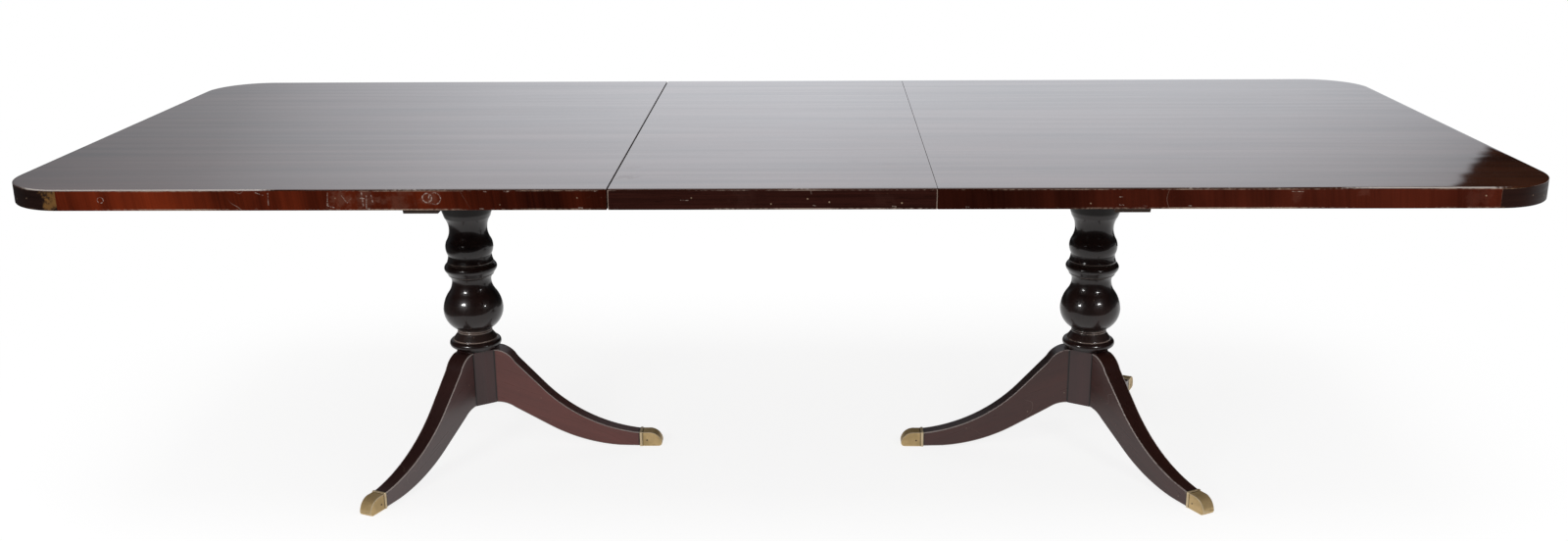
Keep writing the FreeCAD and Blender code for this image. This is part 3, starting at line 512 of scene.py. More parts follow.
# scuffs that show on the front edge: x and height of a scratch's ends and its width, a ring's centre,
# radius and width, a rubbed patch's centre, radius and strength
frontMarks = {
    "left": {
        "face": -0.600, "color": (0.46, 0.37, 0.32), "spotColor": (0.22, 0.115, 0.080),
        "strokes": [
            (-0.955, 0.7565, -0.942, 0.7520, 0.0013), (-0.932, 0.7555, -0.933, 0.7324, 0.0009),
            (-0.821, 0.7557, -0.823, 0.7316, 0.0013), (-0.823, 0.7316, -0.811, 0.7281, 0.0013),
            (-0.795, 0.7507, -0.786, 0.7367, 0.0011), (-0.786, 0.7367, -0.778, 0.7457, 0.0011),
            (-0.758, 0.7568, -0.756, 0.7307, 0.0016), (-0.749, 0.7508, -0.751, 0.7257, 0.0012),
            (-0.741, 0.7558, -0.738, 0.7388, 0.0014), (-0.761, 0.7457, -0.744, 0.7443, 0.0010),
            (-0.493, 0.7583, -0.485, 0.7579, 0.0016), (-0.531, 0.7583, -0.526, 0.7579, 0.0014),
            (-0.327, 0.7586, -0.323, 0.7578, 0.0016), (-0.539, 0.7256, -0.534, 0.7253, 0.0016),
            (-0.356, 0.7270, -0.350, 0.7263, 0.0018), (-0.749, 0.7256, -0.745, 0.7250, 0.0016)],
        "rings": [(-1.2464, 0.743, 0.0055, 0.0009), (-0.6368, 0.746, 0.0085, 0.0018),
                  (-0.6227, 0.745, 0.0110, 0.0016)],
        "spots": [(-0.7537, 0.743, 0.022, 0.20), (-0.6308, 0.745, 0.018, 0.20),
                  (-0.6913, 0.737, 0.030, 0.18), (-0.7980, 0.743, 0.026, 0.22)]},
    "leaf": {
        "face": -0.600, "color": (0.40, 0.31, 0.26), "spotColor": (0.10, 0.045, 0.035),
        "strokes": [
            (0.072, 0.7594, 0.073, 0.7524, 0.0010), (0.222, 0.7282, 0.228, 0.7277, 0.0019),
            (0.076, 0.7304, 0.081, 0.7301, 0.0012), (-0.168, 0.7409, -0.153, 0.7404, 0.0009)],
        "spots": [(-0.0486, 0.742, 0.030, 0.1), (0.2013, 0.739, 0.024, 0.1)]},
    "right": {
        "face": -0.600, "color": (0.42, 0.33, 0.28), "spotColor": (0.17, 0.070, 0.050),
        "strokes": [
            (0.637, 0.7454, 0.643, 0.7452, 0.0010), (0.638, 0.7305, 0.645, 0.7297, 0.0018),
            (0.681, 0.7284, 0.687, 0.7281, 0.0016), (0.764, 0.7285, 0.768, 0.7282, 0.0014),
            (0.358, 0.7272, 0.362, 0.7268, 0.0016), (0.950, 0.7550, 0.970, 0.7546, 0.0009)],
        "spots": [(0.9621, 0.752, 0.018, 0.16), (1.0789, 0.753, 0.012, 0.16), (1.290, 0.742, 0.030, 0.10)]},
    "leftCorner": {
        "face": -0.598, "color": (0.010, 0.006, 0.005), "spotColor": (0.185, 0.090, 0.026),
        "strokes": [(-1.354, 0.751, -1.337, 0.742, 0.0034)],
        "spots": [(-1.341, 0.733, 0.022, 0.85), (-1.337, 0.752, 0.018, 0.75)]}}


def spotMask(tree, place, centre, radius):
    return useGroup(tree, scuffSpot, {"Place": place, "Centre": centre, "Radius": radius})["Mask"]


def markFront(tree, color, place, marks):
    # the patches first, then the strongest of the scratches and rings at each point
    face = marks["face"]
    for x, z, radius, strength in marks["spots"]:
        spot = spotMask(tree, place, (x, face, z), radius)
        color = blend(tree, times(tree, spot, strength), color, rgb(marks["spotColor"]))
    lines = [(scuffStroke, {"From": (x, face, z), "To": (toX, face, toZ), "Width": width})
             for x, z, toX, toZ, width in marks["strokes"]]
    lines += [(scuffRing, {"Centre": (x, face, z), "Radius": radius, "Width": width})
              for x, z, radius, width in marks.get("rings", [])]
    masks = [useGroup(tree, group, {"Place": place, **inputs})["Mask"] for group, inputs in lines]
    together = masks[0]
    for mask in masks[1:]:
        together = calc(tree, "MAXIMUM", together, mask)
    return blend(tree, times(tree, together, markLook["strength"]), color, rgb(marks["color"]))


# where the top's polish has gone dull: x, y, radius, strength
dullPatches = [(-0.282, -0.500, 0.028, 0.30), (-0.277, -0.420, 0.018, 0.15), (0.158, -0.373, 0.018, 0.10),
               (0.223, -0.393, 0.016, 0.10), (-0.072, -0.299, 0.012, 0.08), (-0.975, -0.202, 0.030, 0.06)]
topLevel = cadBox[1][2]


def dullMask(tree, place):
    dull = 0.0
    for x, y, radius, strength in dullPatches:
        spot = spotMask(tree, place, (x, y, topLevel), radius)
        dull = calc(tree, "MULTIPLY_ADD", spot, strength, dull, clamp=True)
    return dull


def alongX(tree, place, levels):
    # a level read off a list of places along X, over a span about the middle
    span = woodLook["span"]
    share = calc(tree, "MULTIPLY_ADD", split(tree, place)[0], 1 / span, 0.5)
    return ramp(tree, share, [(x / span + 0.5, level) for x, level in levels])


def rubArrises(tree, color, place, amount, wearColor):
    inputs = {"Arris": stored(tree, "arris"), "Place": place, "Amount": amount}
    return blend(tree, useGroup(tree, edgeWear, inputs)["Mask"], color, rgb(wearColor))


def relieved(tree, height, strength, depth):
    return addNode(tree, "Bump", {"Height": height, "Strength": strength, "Distance": depth})[0]


def woodMaterial(name, finish, grainAlong="piece", marks=None, dulled=False):
    # grainAlong: "piece" reads the grain place stored on the piece, x or y follows that axis
    material, tree, skin = newMaterial(name)
    place = addNode(tree, "TexCoord")["Object"]
    if grainAlong == "piece":
        along = stored(tree, "grainPlace", "Vector")
    else:
        turn = {"x": 0.0, "y": pi / 2}[grainAlong]
        along = addNode(tree, "Mapping", {"Vector": place, "Rotation": (0.0, 0.0, turn)})[0]
    figure = dict(zip(("Streak", "Band", "Patch", "Pores"), finish["grain"]))
    figure.update(Place=along, Dark=rgb(finish["dark"]), Light=rgb(finish["light"]))
    grain = useGroup(tree, woodGrain, figure)
    color = grain["Color"]
    if "shade" in finish:
        color = blend(tree, 1.0, color, alongX(tree, place, finish["shade"]), "MULTIPLY")
    if marks:
        color = markFront(tree, color, place, marks)
    worn = useGroup(tree, scuffs, {"Place": along, "Amount": finish["scuff"]})
    color = blend(tree, worn["Scratches"], color, rgb(woodLook["scratchColor"]))
    color = blend(tree, worn["Chips"], color, rgb(woodLook["chipColor"]))
    # a painted shade stored on the pieces darkens the colour: in the column's coves and under the top, at
    # the hub's corners, on the legs' upper faces and ends
    if grainAlong == "piece":
        grime = fade(tree, stored(tree, "grime"), *woodLook["grimeRange"])
        color = blend(tree, grime, color, rgb(woodLook["grimeColor"]))
    if finish["wear"]:
        amount = finish["wear"]
        # a painted highlight: the arris is worn paler at the places listed along X
        if "arrisHighlightAlong" in finish:
            arrisHighlight = alongX(tree, place, finish["arrisHighlightAlong"])
            amount = calc(tree, "MULTIPLY_ADD", arrisHighlight, woodLook["arrisHighlightShare"], amount)
        color = rubArrises(tree, color, place, amount, finish["wearColor"])
    rough = fade(tree, grain["Streaks"], *woodLook["grainRange"], *finish["rough"])
    if finish["dust"]:
        film = useGroup(tree, dust, {"Place": place, "Amount": finish["dust"]})["Mask"]
        color = blend(tree, film, color, rgb(woodLook["dustColor"]))
        rough = calc(tree, "MULTIPLY_ADD", film, woodLook["dustRough"], rough)
    relief = grain["Height"]
    if dulled:
        relief = grain["Waves"]
        dull = dullMask(tree, place)
        rough = calc(tree, "MULTIPLY_ADD", dull, woodLook["dullRough"], rough)
        polish = fade(tree, grain["Bands"], *woodLook["grainRange"], *finish["coat"])
        polish = times(tree, polish, calc(tree, "SUBTRACT", 1.0, dull))
        setInputs(tree, skin, {"Coat Weight": polish})
    elif finish["coat"]:
        # where the shade is painted the coat comes off too
        polish = calc(tree, "MULTIPLY_ADD", grime, -finish["coat"], finish["coat"])
        setInputs(tree, skin, {"Coat Weight": polish})
    normal = relieved(tree, relief, finish["bump"], woodLook["relief"])
    setInputs(tree, skin, {"Base Color": color, "Roughness": rough, "Normal": normal,
                           "Specular IOR Level": finish["specular"], "Coat Roughness": finish["coatRough"]})
    return material


brassFinish = {"bright": (0.78, 0.56, 0.275), "dull": (0.60, 0.43, 0.205), "tarnish": (0.13, 0.092, 0.045),
               "rough": (0.46, 0.60), "metal": 0.6, "wear": 0.62, "wearColor": (0.88, 0.72, 0.48)}
pinFinish = {**brassFinish, "bright": (0.24, 0.165, 0.09), "dull": (0.12, 0.08, 0.045)}
steelFinish = {"bright": (0.42, 0.41, 0.40), "dull": (0.16, 0.15, 0.14), "tarnish": (0.06, 0.04, 0.03),
               "rough": (0.35, 0.60), "metal": 1.0, "wear": 0.0}
metalLook = {"clouds": (24.0, 4.0, 0.6), "cloudRange": (0.30, 0.70), "spots": (170.0, 4.0, 0.65),
             "spotRange": (0.64, 0.78), "spotShare": 0.5, "brush": ((1400.0, 1400.0, 90.0), 2.0),
             "bump": 0.12, "relief": 0.0003}


def metalMaterial(name, finish):
    # dull and brighter clouds, dark tarnish in spots, arrises rubbed bright
    material, tree, skin = newMaterial(name)
    place = addNode(tree, "TexCoord")["Object"]
    clouds, spots, brush = (noise(tree, place, *metalLook[layer]) for layer in ("clouds", "spots", "brush"))
    clouds = fade(tree, clouds, *metalLook["cloudRange"])
    spots = times(tree, fade(tree, spots, *metalLook["spotRange"]), metalLook["spotShare"])
    color = blend(tree, clouds, rgb(finish["dull"]), rgb(finish["bright"]))
    color = blend(tree, spots, color, rgb(finish["tarnish"]))
    if finish["wear"]:
        color = blend(tree, stored(tree, "grime"), color, rgb(finish["tarnish"]))
        color = rubArrises(tree, color, place, finish["wear"], finish["wearColor"])
    low, high = finish["rough"]
    normal = relieved(tree, brush, metalLook["bump"], metalLook["relief"])
    setInputs(tree, skin, {"Base Color": color, "Roughness": fade(tree, clouds, 0.0, 1.0, high, low),
                           "Normal": normal, "Metallic": finish["metal"]})
    return material


topVeneer = woodMaterial("topVeneer", topFinish, dulled=True)
panelUnderside = woodMaterial("panelUnderside", underFinish, "x")
edgeWood = {owner: woodMaterial(owner + "EdgeMahogany", finish, marks=frontMarks[owner])
            for owner, finish in edgeFinish.items()}
cornerWood = {side: woodMaterial(side + "CornerMahogany", finish, marks=frontMarks.get(side + "Corner"))
              for side, finish in cornerFinish.items()}
columnWood = woodMaterial("columnMahogany", columnFinish)
hubWood = woodMaterial("hubMahogany", hubFinish)
legWood = {owner: woodMaterial(owner + "LegMahogany", finish) for owner, finish in legShadedCopies.items()}
railWood = woodMaterial("railWood", underFinish, "x")
bearerWood = woodMaterial("bearerWood", underFinish, "y")
agedBrass = metalMaterial("agedBrass", brassFinish)
pinBrass = metalMaterial("pinBrass", pinFinish)
screwSteel = metalMaterial("screwSteel", steelFinish)
print("materials made")


# surfaces
sharpAngle = radians(32)


def gridFaces(rows, columns, first):
    # quads between neighbouring rows, the columns closing round, and a flat face on each end row
    index = first + np.arange(rows * columns).reshape(rows, columns)
    ahead = np.roll(index, -1, axis=1)
    quads = np.stack([index[:-1], ahead[:-1], ahead[1:], index[1:]], axis=-1).reshape(-1, 4)
    return quads.tolist() + [index[0, ::-1].tolist(), index[-1].tolist()]


def shell(points, grain=None, arris=0.0, grime=0.0, finish=0):
    # one closed surface: a grid of points, where the wood's grain runs through them, their wear, and their
    # painted shade on the wood and tarnish on the brass
    size = points.shape[:2]
    return {"points": points, "grain": points if grain is None else grain, "finish": finish,
            "arris": np.broadcast_to(arris, size), "grime": np.broadcast_to(grime, size)}


def makePiece(name, shells, materials, body, node):
    faces, finishes, first = [], [], 0
    for part in shells:
        rows, columns = part["points"].shape[:2]
        added = gridFaces(rows, columns, first)
        faces += added
        finishes += [part["finish"]] * len(added)
        first += rows * columns
    joined = {label: np.concatenate([part[label].ravel() for part in shells])
              for label in ("points", "grain", "arris", "grime")}
    mesh = bpy.data.meshes.new(name)
    mesh.from_pydata(joined["points"].reshape(-1, 3).tolist(), [], faces)
    mesh.attributes.new("grainPlace", "FLOAT_VECTOR", "POINT").data.foreach_set("vector", joined["grain"])
    for label in ("arris", "grime"):
        mesh.attributes.new(label, "FLOAT", "POINT").data.foreach_set("value", joined[label])
    mesh.polygons.foreach_set("material_index", finishes)
    mesh.polygons.foreach_set("use_smooth", np.ones(len(faces), bool))
    for material in materials:
        mesh.materials.append(material)
    work = bmesh.new()
    work.from_mesh(mesh)
    bmesh.ops.recalc_face_normals(work, faces=work.faces)
    work.to_mesh(mesh)
    work.free()
    mesh.set_sharp_from_angle(angle=sharpAngle)
    piece = bpy.data.objects.new(name, mesh)
    scene.collection.objects.link(piece)
    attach(piece, body)
    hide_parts(node)
    return piece


def nodeBox(node):
    low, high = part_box(node)
    return np.array(low), np.array(high)


def unit(vectors):
    return vectors / np.linalg.norm(vectors, axis=-1, keepdims=True)


def circle(turn):
    return np.stack([np.cos(turn), np.sin(turn)], axis=-1)


def rectangles(left, right, low, high):
    # one for each entry, walked round from the lower left corner
    corners = ((left, low), (right, low), (right, high), (left, high))
    return np.stack([np.stack(corner, axis=-1) for corner in corners], axis=1)


def lifted(rings, heights):
    # flat rings, each at its own height
    level = np.broadcast_to(np.asarray(heights)[:, None, None], rings.shape[:2] + (1,))
    return np.concatenate([rings, level], axis=-1)


def roundCorners(corners, radius, steps, flank):
    # each corner gives way to an arc touching both its sides, with one more point along each side;
    # returns the ring of points and 1 on the arcs, 0 beside them
    before = unit(np.roll(corners, 1, axis=-2) - corners)
    after = unit(np.roll(corners, -1, axis=-2) - corners)
    half = 0.5 * np.arccos(np.clip((before * after).sum(-1, keepdims=True), -1, 1))
    radius = np.broadcast_to(np.asarray(radius, float), corners.shape[:-1])[..., None]
    reach = radius / np.tan(half)
    centre = corners + unit(before + after) * radius / np.sin(half)
    first = (corners + before * reach - centre)[..., None, :]
    last = (corners + after * reach - centre)[..., None, :]
    sweep = pi - 2 * half
    share = np.linspace(0, 1, steps)
    early = np.sin((1 - share) * sweep) / np.sin(sweep)
    late = np.sin(share * sweep) / np.sin(sweep)
    arc = centre[..., None, :] + early[..., None] * first + late[..., None] * last
    lead = (corners + before * (reach + flank))[..., None, :]
    tail = (corners + after * (reach + flank))[..., None, :]
    ring = np.concatenate([lead, arc, tail], axis=-2)
    worn = np.tile(np.concatenate([[0.0], np.ones(steps), [0.0]]), corners.shape[-2])
    return ring.reshape(*corners.shape[:-2], -1, 2), worn


def carry(section, places, across, upward):
    # a section's first coordinate goes along across and its second along upward, at every place
    return places[:, None] + section[..., :1] * across[:, None] + section[..., 1:] * upward[:, None]


def shrink(ring, amount):
    # a ring drawn in towards its middle, to ease the end of a piece
    middle = ring.mean(axis=-2, keepdims=True)
    span = np.linalg.norm(ring - middle, axis=-1, keepdims=True)
    return ring + (middle - ring) * np.minimum(amount / np.maximum(span, 1e-9), 1.0)


def arcThrough(start, via, stop, count):
    # the circle through three points, walked from the first to the last past the second
    start, via, stop = (np.asarray(point, float) for point in (start, via, stop))
    system = 2 * np.array([via - start, stop - start])
    centre = np.linalg.solve(system, [via @ via - start @ start, stop @ stop - start @ start])
    turns = [np.arctan2(*(point - centre)[::-1]) for point in (start, via, stop)]
    there, back = (turns[1] - turns[0]) % (2 * pi), (turns[2] - turns[0]) % (2 * pi)
    sweep = back if there < back else back - 2 * pi
    return centre + np.hypot(*(start - centre)) * circle(turns[0] + np.linspace(0, 1, count) * sweep)


def trace(rows, count, arcPoints=24):
    # straight runs and arcs through given points, spread evenly over count points
    runs = []
    for index, row in enumerate(rows[:-1]):
        if len(row) == 3:
            continue
        ahead = rows[index + 1]
        if len(ahead) == 3:
            runs.append(arcThrough(row, ahead[:2], rows[index + 2], arcPoints))
        else:
            runs.append(np.array([row, ahead], float))
    line = np.concatenate(runs)
    step = np.hypot(*np.diff(line, axis=0).T)
    length = np.concatenate([[0.0], np.cumsum(step)])
    share = np.linspace(0, length[-1], count)
    return np.stack([np.interp(share, length, line[:, 0]), np.interp(share, length, line[:, 1])], axis=-1)


# tops: a veneer sheet with a rounded upper arris over a plain core
topShape = {"arris": 0.0016, "arrisSteps": 6, "flank": 0.006, "cornerSteps": 28, "cornerFlank": 0.02,
            "seamCorner": 0.0006, "seamShare": {"left": 0.5, "right": 0.12}, "seamWear": 0.3,
            "glueLine": 0.0001}


def panelRings(low, high, half, radii, insets, heights):
    # the top's outline at each height: insets from its left end, its right end and its two sides
    left, right, side = (np.asarray(inset, float) for inset in insets)
    corners = rectangles(low + left, high - right, side - half, half - side)
    near, far = (np.maximum(radius - side, topShape["seamCorner"]) for radius in radii)
    turned = np.stack([near, far, far, near], axis=1)
    rings, _ = roundCorners(corners, turned, topShape["cornerSteps"], topShape["cornerFlank"])
    return lifted(rings, heights)


def makeTop(name, node, edgeNode, freeEnd, seamShares, body):
    # a free end is round at its corners and has the full arris, a seam is square and barely eased
    low, high = nodeBox(node)
    edgeLow, edgeHigh = nodeBox(edgeNode)
    joint, depth = edgeHigh[2], edgeHigh[1] - edgeLow[1]
    arris, flank, glue = topShape["arris"], topShape["flank"], topShape["glueLine"]
    turn = np.linspace(0, pi / 2, topShape["arrisSteps"])
    free = np.concatenate([[0, 0], arris * (1 - np.cos(turn)), [arris + flank]])
    heights = np.concatenate([[joint, joint + glue], high[2] - arris + arris * np.sin(turn), [high[2]]])
    isFree = [freeEnd == "left", freeEnd == "right"]
    radii = [cornerRadius * end for end in isFree]
    seams = [np.minimum(free, share * arris + flank * (free > arris)) for share in seamShares]
    insets = [free if end else seam for end, seam in zip(isFree, seams)] + [free]
    veneer = panelRings(low[0], high[0], high[1], radii, insets, heights)
    insets = [[(depth + glue) * end] * 2 for end in (*isFree, True)]
    core = panelRings(low[0], high[0], high[1], radii, insets, [low[2], joint])
    toSeam = np.minimum(veneer[..., 0] - low[0] + isFree[0], high[0] - veneer[..., 0] + isFree[1])
    worn = np.concatenate([[0, 0], np.ones(len(turn)), [0]])[:, None]
    worn = worn * np.where(toSeam < arris + flank, topShape["seamWear"], 1.0)
    shells = [shell(veneer, arris=worn), shell(core, finish=1)]
    return makePiece(name, shells, [topVeneer, panelUnderside], body, node)


cornerRadius = float(np.ptp([corner[0] for corner in nodeBox("right_front_corner")]))
tops = [makeTop("leafTop", "leaf_panel", "leaf_front_edge", None, topShape["seamShare"].values(), "leaf")]
for side in sides:
    shares = (topShape["seamShare"][side],) * 2
    top = makeTop(side + "Top", side + "_top_panel", side + "_front_edge", side, shares, bodies[side])
    tops.append(top)
# the front lamps light the edges and pedestals, and the polished tops don't mirror them
linkLamps(("frontLeft", "softLeft", "frontRight", "softRight"), "shadedTops", tops, "EXCLUDE")
print("tops made")


# edge strips and corner blocks: one section, straight along the sides and swept round the corners
edgeShape = {"lowerArris": 0.0026, "upperArris": 0.0005, "innerArris": 0.0005, "steps": 6, "flank": 0.0022,
             "ease": 0.0005, "straightSteps": 30, "grainLean": 0.12,
             "endWear": {"left": 0.6, "leaf": 1.7, "right": 0.6}}


def edgeSection(depth, low, high):
    corners = np.array([(-depth, high), (-depth, low), (0, low), (0, high)])
    radii = [edgeShape["innerArris"]] * 2 + [edgeShape["lowerArris"], edgeShape["upperArris"]]
    ring, worn = roundCorners(corners, radii, edgeShape["steps"], edgeShape["flank"])
    return ring, worn * (ring[:, 0] > -depth / 2)


def makeEdge(name, node, places, outward, wood, owner, run, crossGrain=False, endWear=0.0):
    # places run along the outer face; the two end sections are drawn in a little
    low, high = nodeBox(node)
    ring, worn = edgeSection(edgeDepth, low[2], high[2])
    sections = np.repeat(ring[None], len(places), axis=0)
    sections[[0, -1]] = shrink(ring, edgeShape["ease"])
    points = carry(sections, places, outward, np.repeat(up[None], len(places), axis=0))
    along = np.broadcast_to(run[:, None], points.shape[:2])
    out, height = sections[..., 0], sections[..., 1]
    grain = [height, out, along + edgeShape["grainLean"] * height] if crossGrain else [along, out, height]
    ends = np.zeros(len(run))
    ends[[0, 1, -2, -1]] = endWear
    worn = np.maximum(worn, ends[:, None]) * (out > -edgeDepth / 2)
    shells = [shell(points, np.stack(grain, axis=-1), worn)]
    makePiece(name, shells, [wood[owner]], bodies[owner], node)


def straightRun(start, stop):
    # even steps between the eased ends, with one more step close to each end
    near = np.array((0.0, edgeShape["ease"], edgeShape["ease"] + edgeShape["flank"]))
    inner = np.linspace(start + near[-1], stop - near[-1], edgeShape["straightSteps"])
    return np.concatenate([start + near[:-1], inner, stop - near[-2::-1]])


def makeStrip(name, node, along, facing, owner, *wear):
    # along is the axis that the strip follows, 0 or 1; it faces along the other one
    box = nodeBox(node)
    run = straightRun(box[0][along], box[1][along])
    places, outward = np.zeros((2, len(run), 3))
    places[:, along] = run
    places[:, 1 - along] = box[facing > 0][1 - along]
    outward[:, 1 - along] = facing
    makeEdge(name, node, places, outward, edgeWood, owner, run, *wear)


def makeCorner(name, node, toEnd, facing, owner):
    box = nodeBox(node)
    centre = np.array((box[toEnd < 0][0], box[facing < 0][1], 0.0))
    turn = straightRun(0.0, pi / 2 * cornerRadius)[:, None] / cornerRadius
    outward = np.concatenate([toEnd * np.sin(turn), facing * np.cos(turn), 0 * turn], axis=-1)
    places = centre + cornerRadius * outward
    makeEdge(name, node, places, outward, cornerWood, owner, cornerRadius * turn[:, 0])


edgeDepth = float(np.ptp([corner[1] for corner in nodeBox("right_front_edge")]))
for owner in bodies:
    for place, facing in facings.items():
        makeStrip(owner + place.capitalize() + "Edge", "%s_%s_edge" % (owner, place), 0, facing, owner,
                  owner != "leaf", edgeShape["endWear"][owner])
    if owner in sides:
        makeStrip(owner + "EndEdge", owner + "_end_edge", 1, sides[owner], owner, True)
        for place, facing in facings.items():
            makeCorner(owner + place.capitalize() + "Corner", "%s_%s_corner" % (owner, place), sides[owner],
                       facing, owner)
print("edges made")


# pedestals: sizes in metres, leg angles in degrees; the paler bands, partly painted light, and the painted
# shade under the top are shares of the column's height
pedestal = {"legAngles": {"left": (113.0, 108.0), "right": (118.0, 115.0)}, "hubSeat": 0.045,
            "legWidth": 0.046, "toeWidth": 0.031, "hubHeight": 0.130, "hubArris": 0.0010, "hubSteps": 5,
            "hubFlank": 0.002, "hubEase": 0.0008, "tenonRadius": 0.025, "columnRadius": 0.068,
            "around": 96, "alongColumn": 560, "softenPasses": 3, "bend": 0.0003, "wornSpread": 0.5,
            "grimeSpread": 0.6, "dimmed": (0.822, 0.842),
            "rubbedAndSheen": [(0.064, 0.101, 0.44), (0.112, 0.300, 0.41), (0.0565, 0.0625, 1.0),
                       (0.4545, 0.4575, 0.8)]}
# radius and height of the turning as shares, from the hub to the top block; "via" is the middle of an arc
columnRows = [
    (0.680, 0.000), (0.680, 0.010),
    (0.770, 0.012), (0.868, 0.034, "via"), (0.770, 0.056),
    (0.735, 0.056), (0.735, 0.062),
    (0.650, 0.082, "via"), (0.567, 0.101),
    (0.588, 0.106, "via"), (0.557, 0.111),
    (0.578, 0.116, "via"), (0.553, 0.121),
    (0.868, 0.168, "via"), (1.000, 0.245),
    (0.938, 0.299, "via"), (0.800, 0.345),
    (0.694, 0.379, "via"), (0.655, 0.415),
    (0.678, 0.438, "via"), (0.740, 0.454),
    (0.760, 0.454), (0.760, 0.460),
    (0.835, 0.480), (0.876, 0.498, "via"), (0.835, 0.516),
    (0.790, 0.527), (0.768, 0.527), (0.768, 0.536),
    (0.738, 0.553, "via"), (0.724, 0.577),
    (0.791, 0.619, "via"), (0.745, 0.662),
    (0.630, 0.735, "via"), (0.758, 0.805),
    (0.925, 0.897),
    (1.040, 0.928, "via"), (0.950, 0.959),
    (0.950, 1.000),
]


def scaledRows(rows, start, length, low, rise):
    return [(start + row[0] * length, low + row[1] * rise, *row[2:]) for row in rows]


def legTurns(side):
    inner = 180.0 if side == "right" else 0.0
    front, back = (angle * sides[side] for angle in pedestal["legAngles"][side])
    return {"inner": radians(inner), "front": radians(inner + front), "back": radians(inner - back)}


def columnAxis(side):
    low, high = nodeBox(side + "_top_block")
    return np.array(((low[0] + high[0]) / 2, 0.0, 0.0))


def spread(level, share):
    # each point takes a share of its stronger neighbour
    level[1:-1] = np.maximum(level[1:-1], share * np.maximum(level[:-2], level[2:]))


def turnedShell(side, foot, top, tenonTop):
    # a profile turned about the column's axis; its outward bends are worn, and its inward ones are painted
    # darker, a painted shade in the coves
    rows = scaledRows(columnRows, 0.0, pedestal["columnRadius"], foot, top - foot)
    line = trace(rows, pedestal["alongColumn"])
    bend = np.concatenate([[0], np.diff(line[:, 0], 2), [0]]) / pedestal["bend"]
    worn, grime = np.clip(-bend, 0, 1), np.clip(bend, 0, 1)
    # each pass gives a point half its own place and a quarter of each neighbour's
    for _ in range(pedestal["softenPasses"]):
        line[1:-1] = 0.25 * line[:-2] + 0.5 * line[1:-1] + 0.25 * line[2:]
        spread(worn, pedestal["wornSpread"])
        spread(grime, pedestal["grimeSpread"])
    # rings and coves rubbed paler, partly worn wood and partly painted light: the two thin lines are
    # painted highlights, the cove a painted sheen and the lower bulb a painted reflection of the floor
    share = (line[:, 1] - foot) / (top - foot)
    for first, last, amount in pedestal["rubbedAndSheen"]:
        worn = np.maximum(worn, amount * ((share > first) & (share < last)))
    # close under the top the column is painted darker and loses its coat, a painted shade
    first, last = pedestal["dimmed"]
    grime = np.maximum(grime, np.clip((share - first) / (last - first), 0, 1))
    tenon = pedestal["tenonRadius"]
    line = np.concatenate([line, [(tenon, top), (tenon, tenonTop)]])
    worn, grime = (np.append(level, [0, 0])[:, None] for level in (worn, grime))
    flat = line[:, None, :1] * circle(np.linspace(0, 2 * pi, pedestal["around"], endpoint=False))
    grain = np.roll(lifted(flat + sides[side], line[:, 1]), 1, axis=-1)
    return shell(columnAxis(side) + lifted(flat, line[:, 1]), grain, worn, grime)


def hubShell(side, low, high):
    # a flat face for each leg and one between each two legs
    reach, half, ease = pedestal["hubSeat"], pedestal["legWidth"] / 2, pedestal["hubEase"]
    turns = np.sort(np.array(list(legTurns(side).values())) % (2 * pi))
    ahead = reach * circle(turns)
    aside = half * np.stack([-np.sin(turns), np.cos(turns)], axis=-1)
    corners = np.stack([ahead - aside, ahead + aside], axis=1).reshape(-1, 2)
    ring, joint = roundCorners(corners, pedestal["hubArris"], pedestal["hubSteps"], pedestal["hubFlank"])
    eased = shrink(ring, ease)
    rings, levels = np.stack([eased, ring, ring, eased]), np.array([low, low + ease, high - ease, high])
    grain = np.roll(lifted(rings + 2 * sides[side], levels), 1, axis=-1)
    # its corners, beside each leg, are painted darker, a painted shade at the joints
    return shell(columnAxis(side) + lifted(rings, levels), grain, grime=joint, finish=1)


def makeColumn(side):
    node = side + "_column"
    low, high = nodeBox(node)
    foot = low[2] + pedestal["hubHeight"]
    top = nodeBox(side + "_top_block")[0][2]
    shells = [turnedShell(side, foot, top, high[2]), hubShell(side, low[2], foot)]
    woods = [columnWood, hubWood]
    return makePiece(side + "Column", shells, woods, bodies[side], node)


# legs: the upper and lower edge as shares of the leg's length and of its rise from the toe
legShape = {"steps": 72, "arris": 0.0016, "arrisSteps": 5, "flank": 0.0014, "toeHeight": 0.035,
            "jointShade": 0.9, "topShade": 0.5, "topFrom": 0.999}
legTopRows = [(0.000, 1.000), (0.026, 1.000), (0.093, 0.952, "via"), (0.141, 0.861),
              (0.318, 0.560), (0.523, 0.279, "via"), (1.000, 0.000)]
legUnderRows = [(0.000, 1.000), (0.064, 0.975, "via"), (0.125, 0.885), (0.370, 0.467),
                (0.580, 0.186, "via"), (0.870, 0.012), (1.000, 0.000)]


def legFrame(side, turn):
    # along the leg, across it, and the column's axis
    return np.array((cos(turn), sin(turn), 0.0)), np.array((-sin(turn), cos(turn), 0.0)), columnAxis(side)


def barBetween(upper, lower, width, shape, axes, most=0.45):
    # sections that stand between a lower and an upper line, as wide as the bar, with eased corners
    ahead, aside, axis = axes
    height = np.linalg.norm(upper - lower, axis=-1)
    half = np.broadcast_to(np.asarray(width) / 2, height.shape)
    corners = rectangles(-half, half, np.zeros_like(height), height)
    radius = np.minimum(shape["arris"], most * np.minimum(height, 2 * half))[:, None]
    ring, worn = roundCorners(corners, radius, shape["arrisSteps"], shape["flank"])
    rise = (upper - lower) / height[:, None]
    upward = rise[:, :1] * ahead + rise[:, 1:] * up
    places = axis + lower[:, :1] * ahead + lower[:, 1:] * up
    return carry(ring, places, np.repeat(aside[None], len(height), axis=0), upward), ring, worn


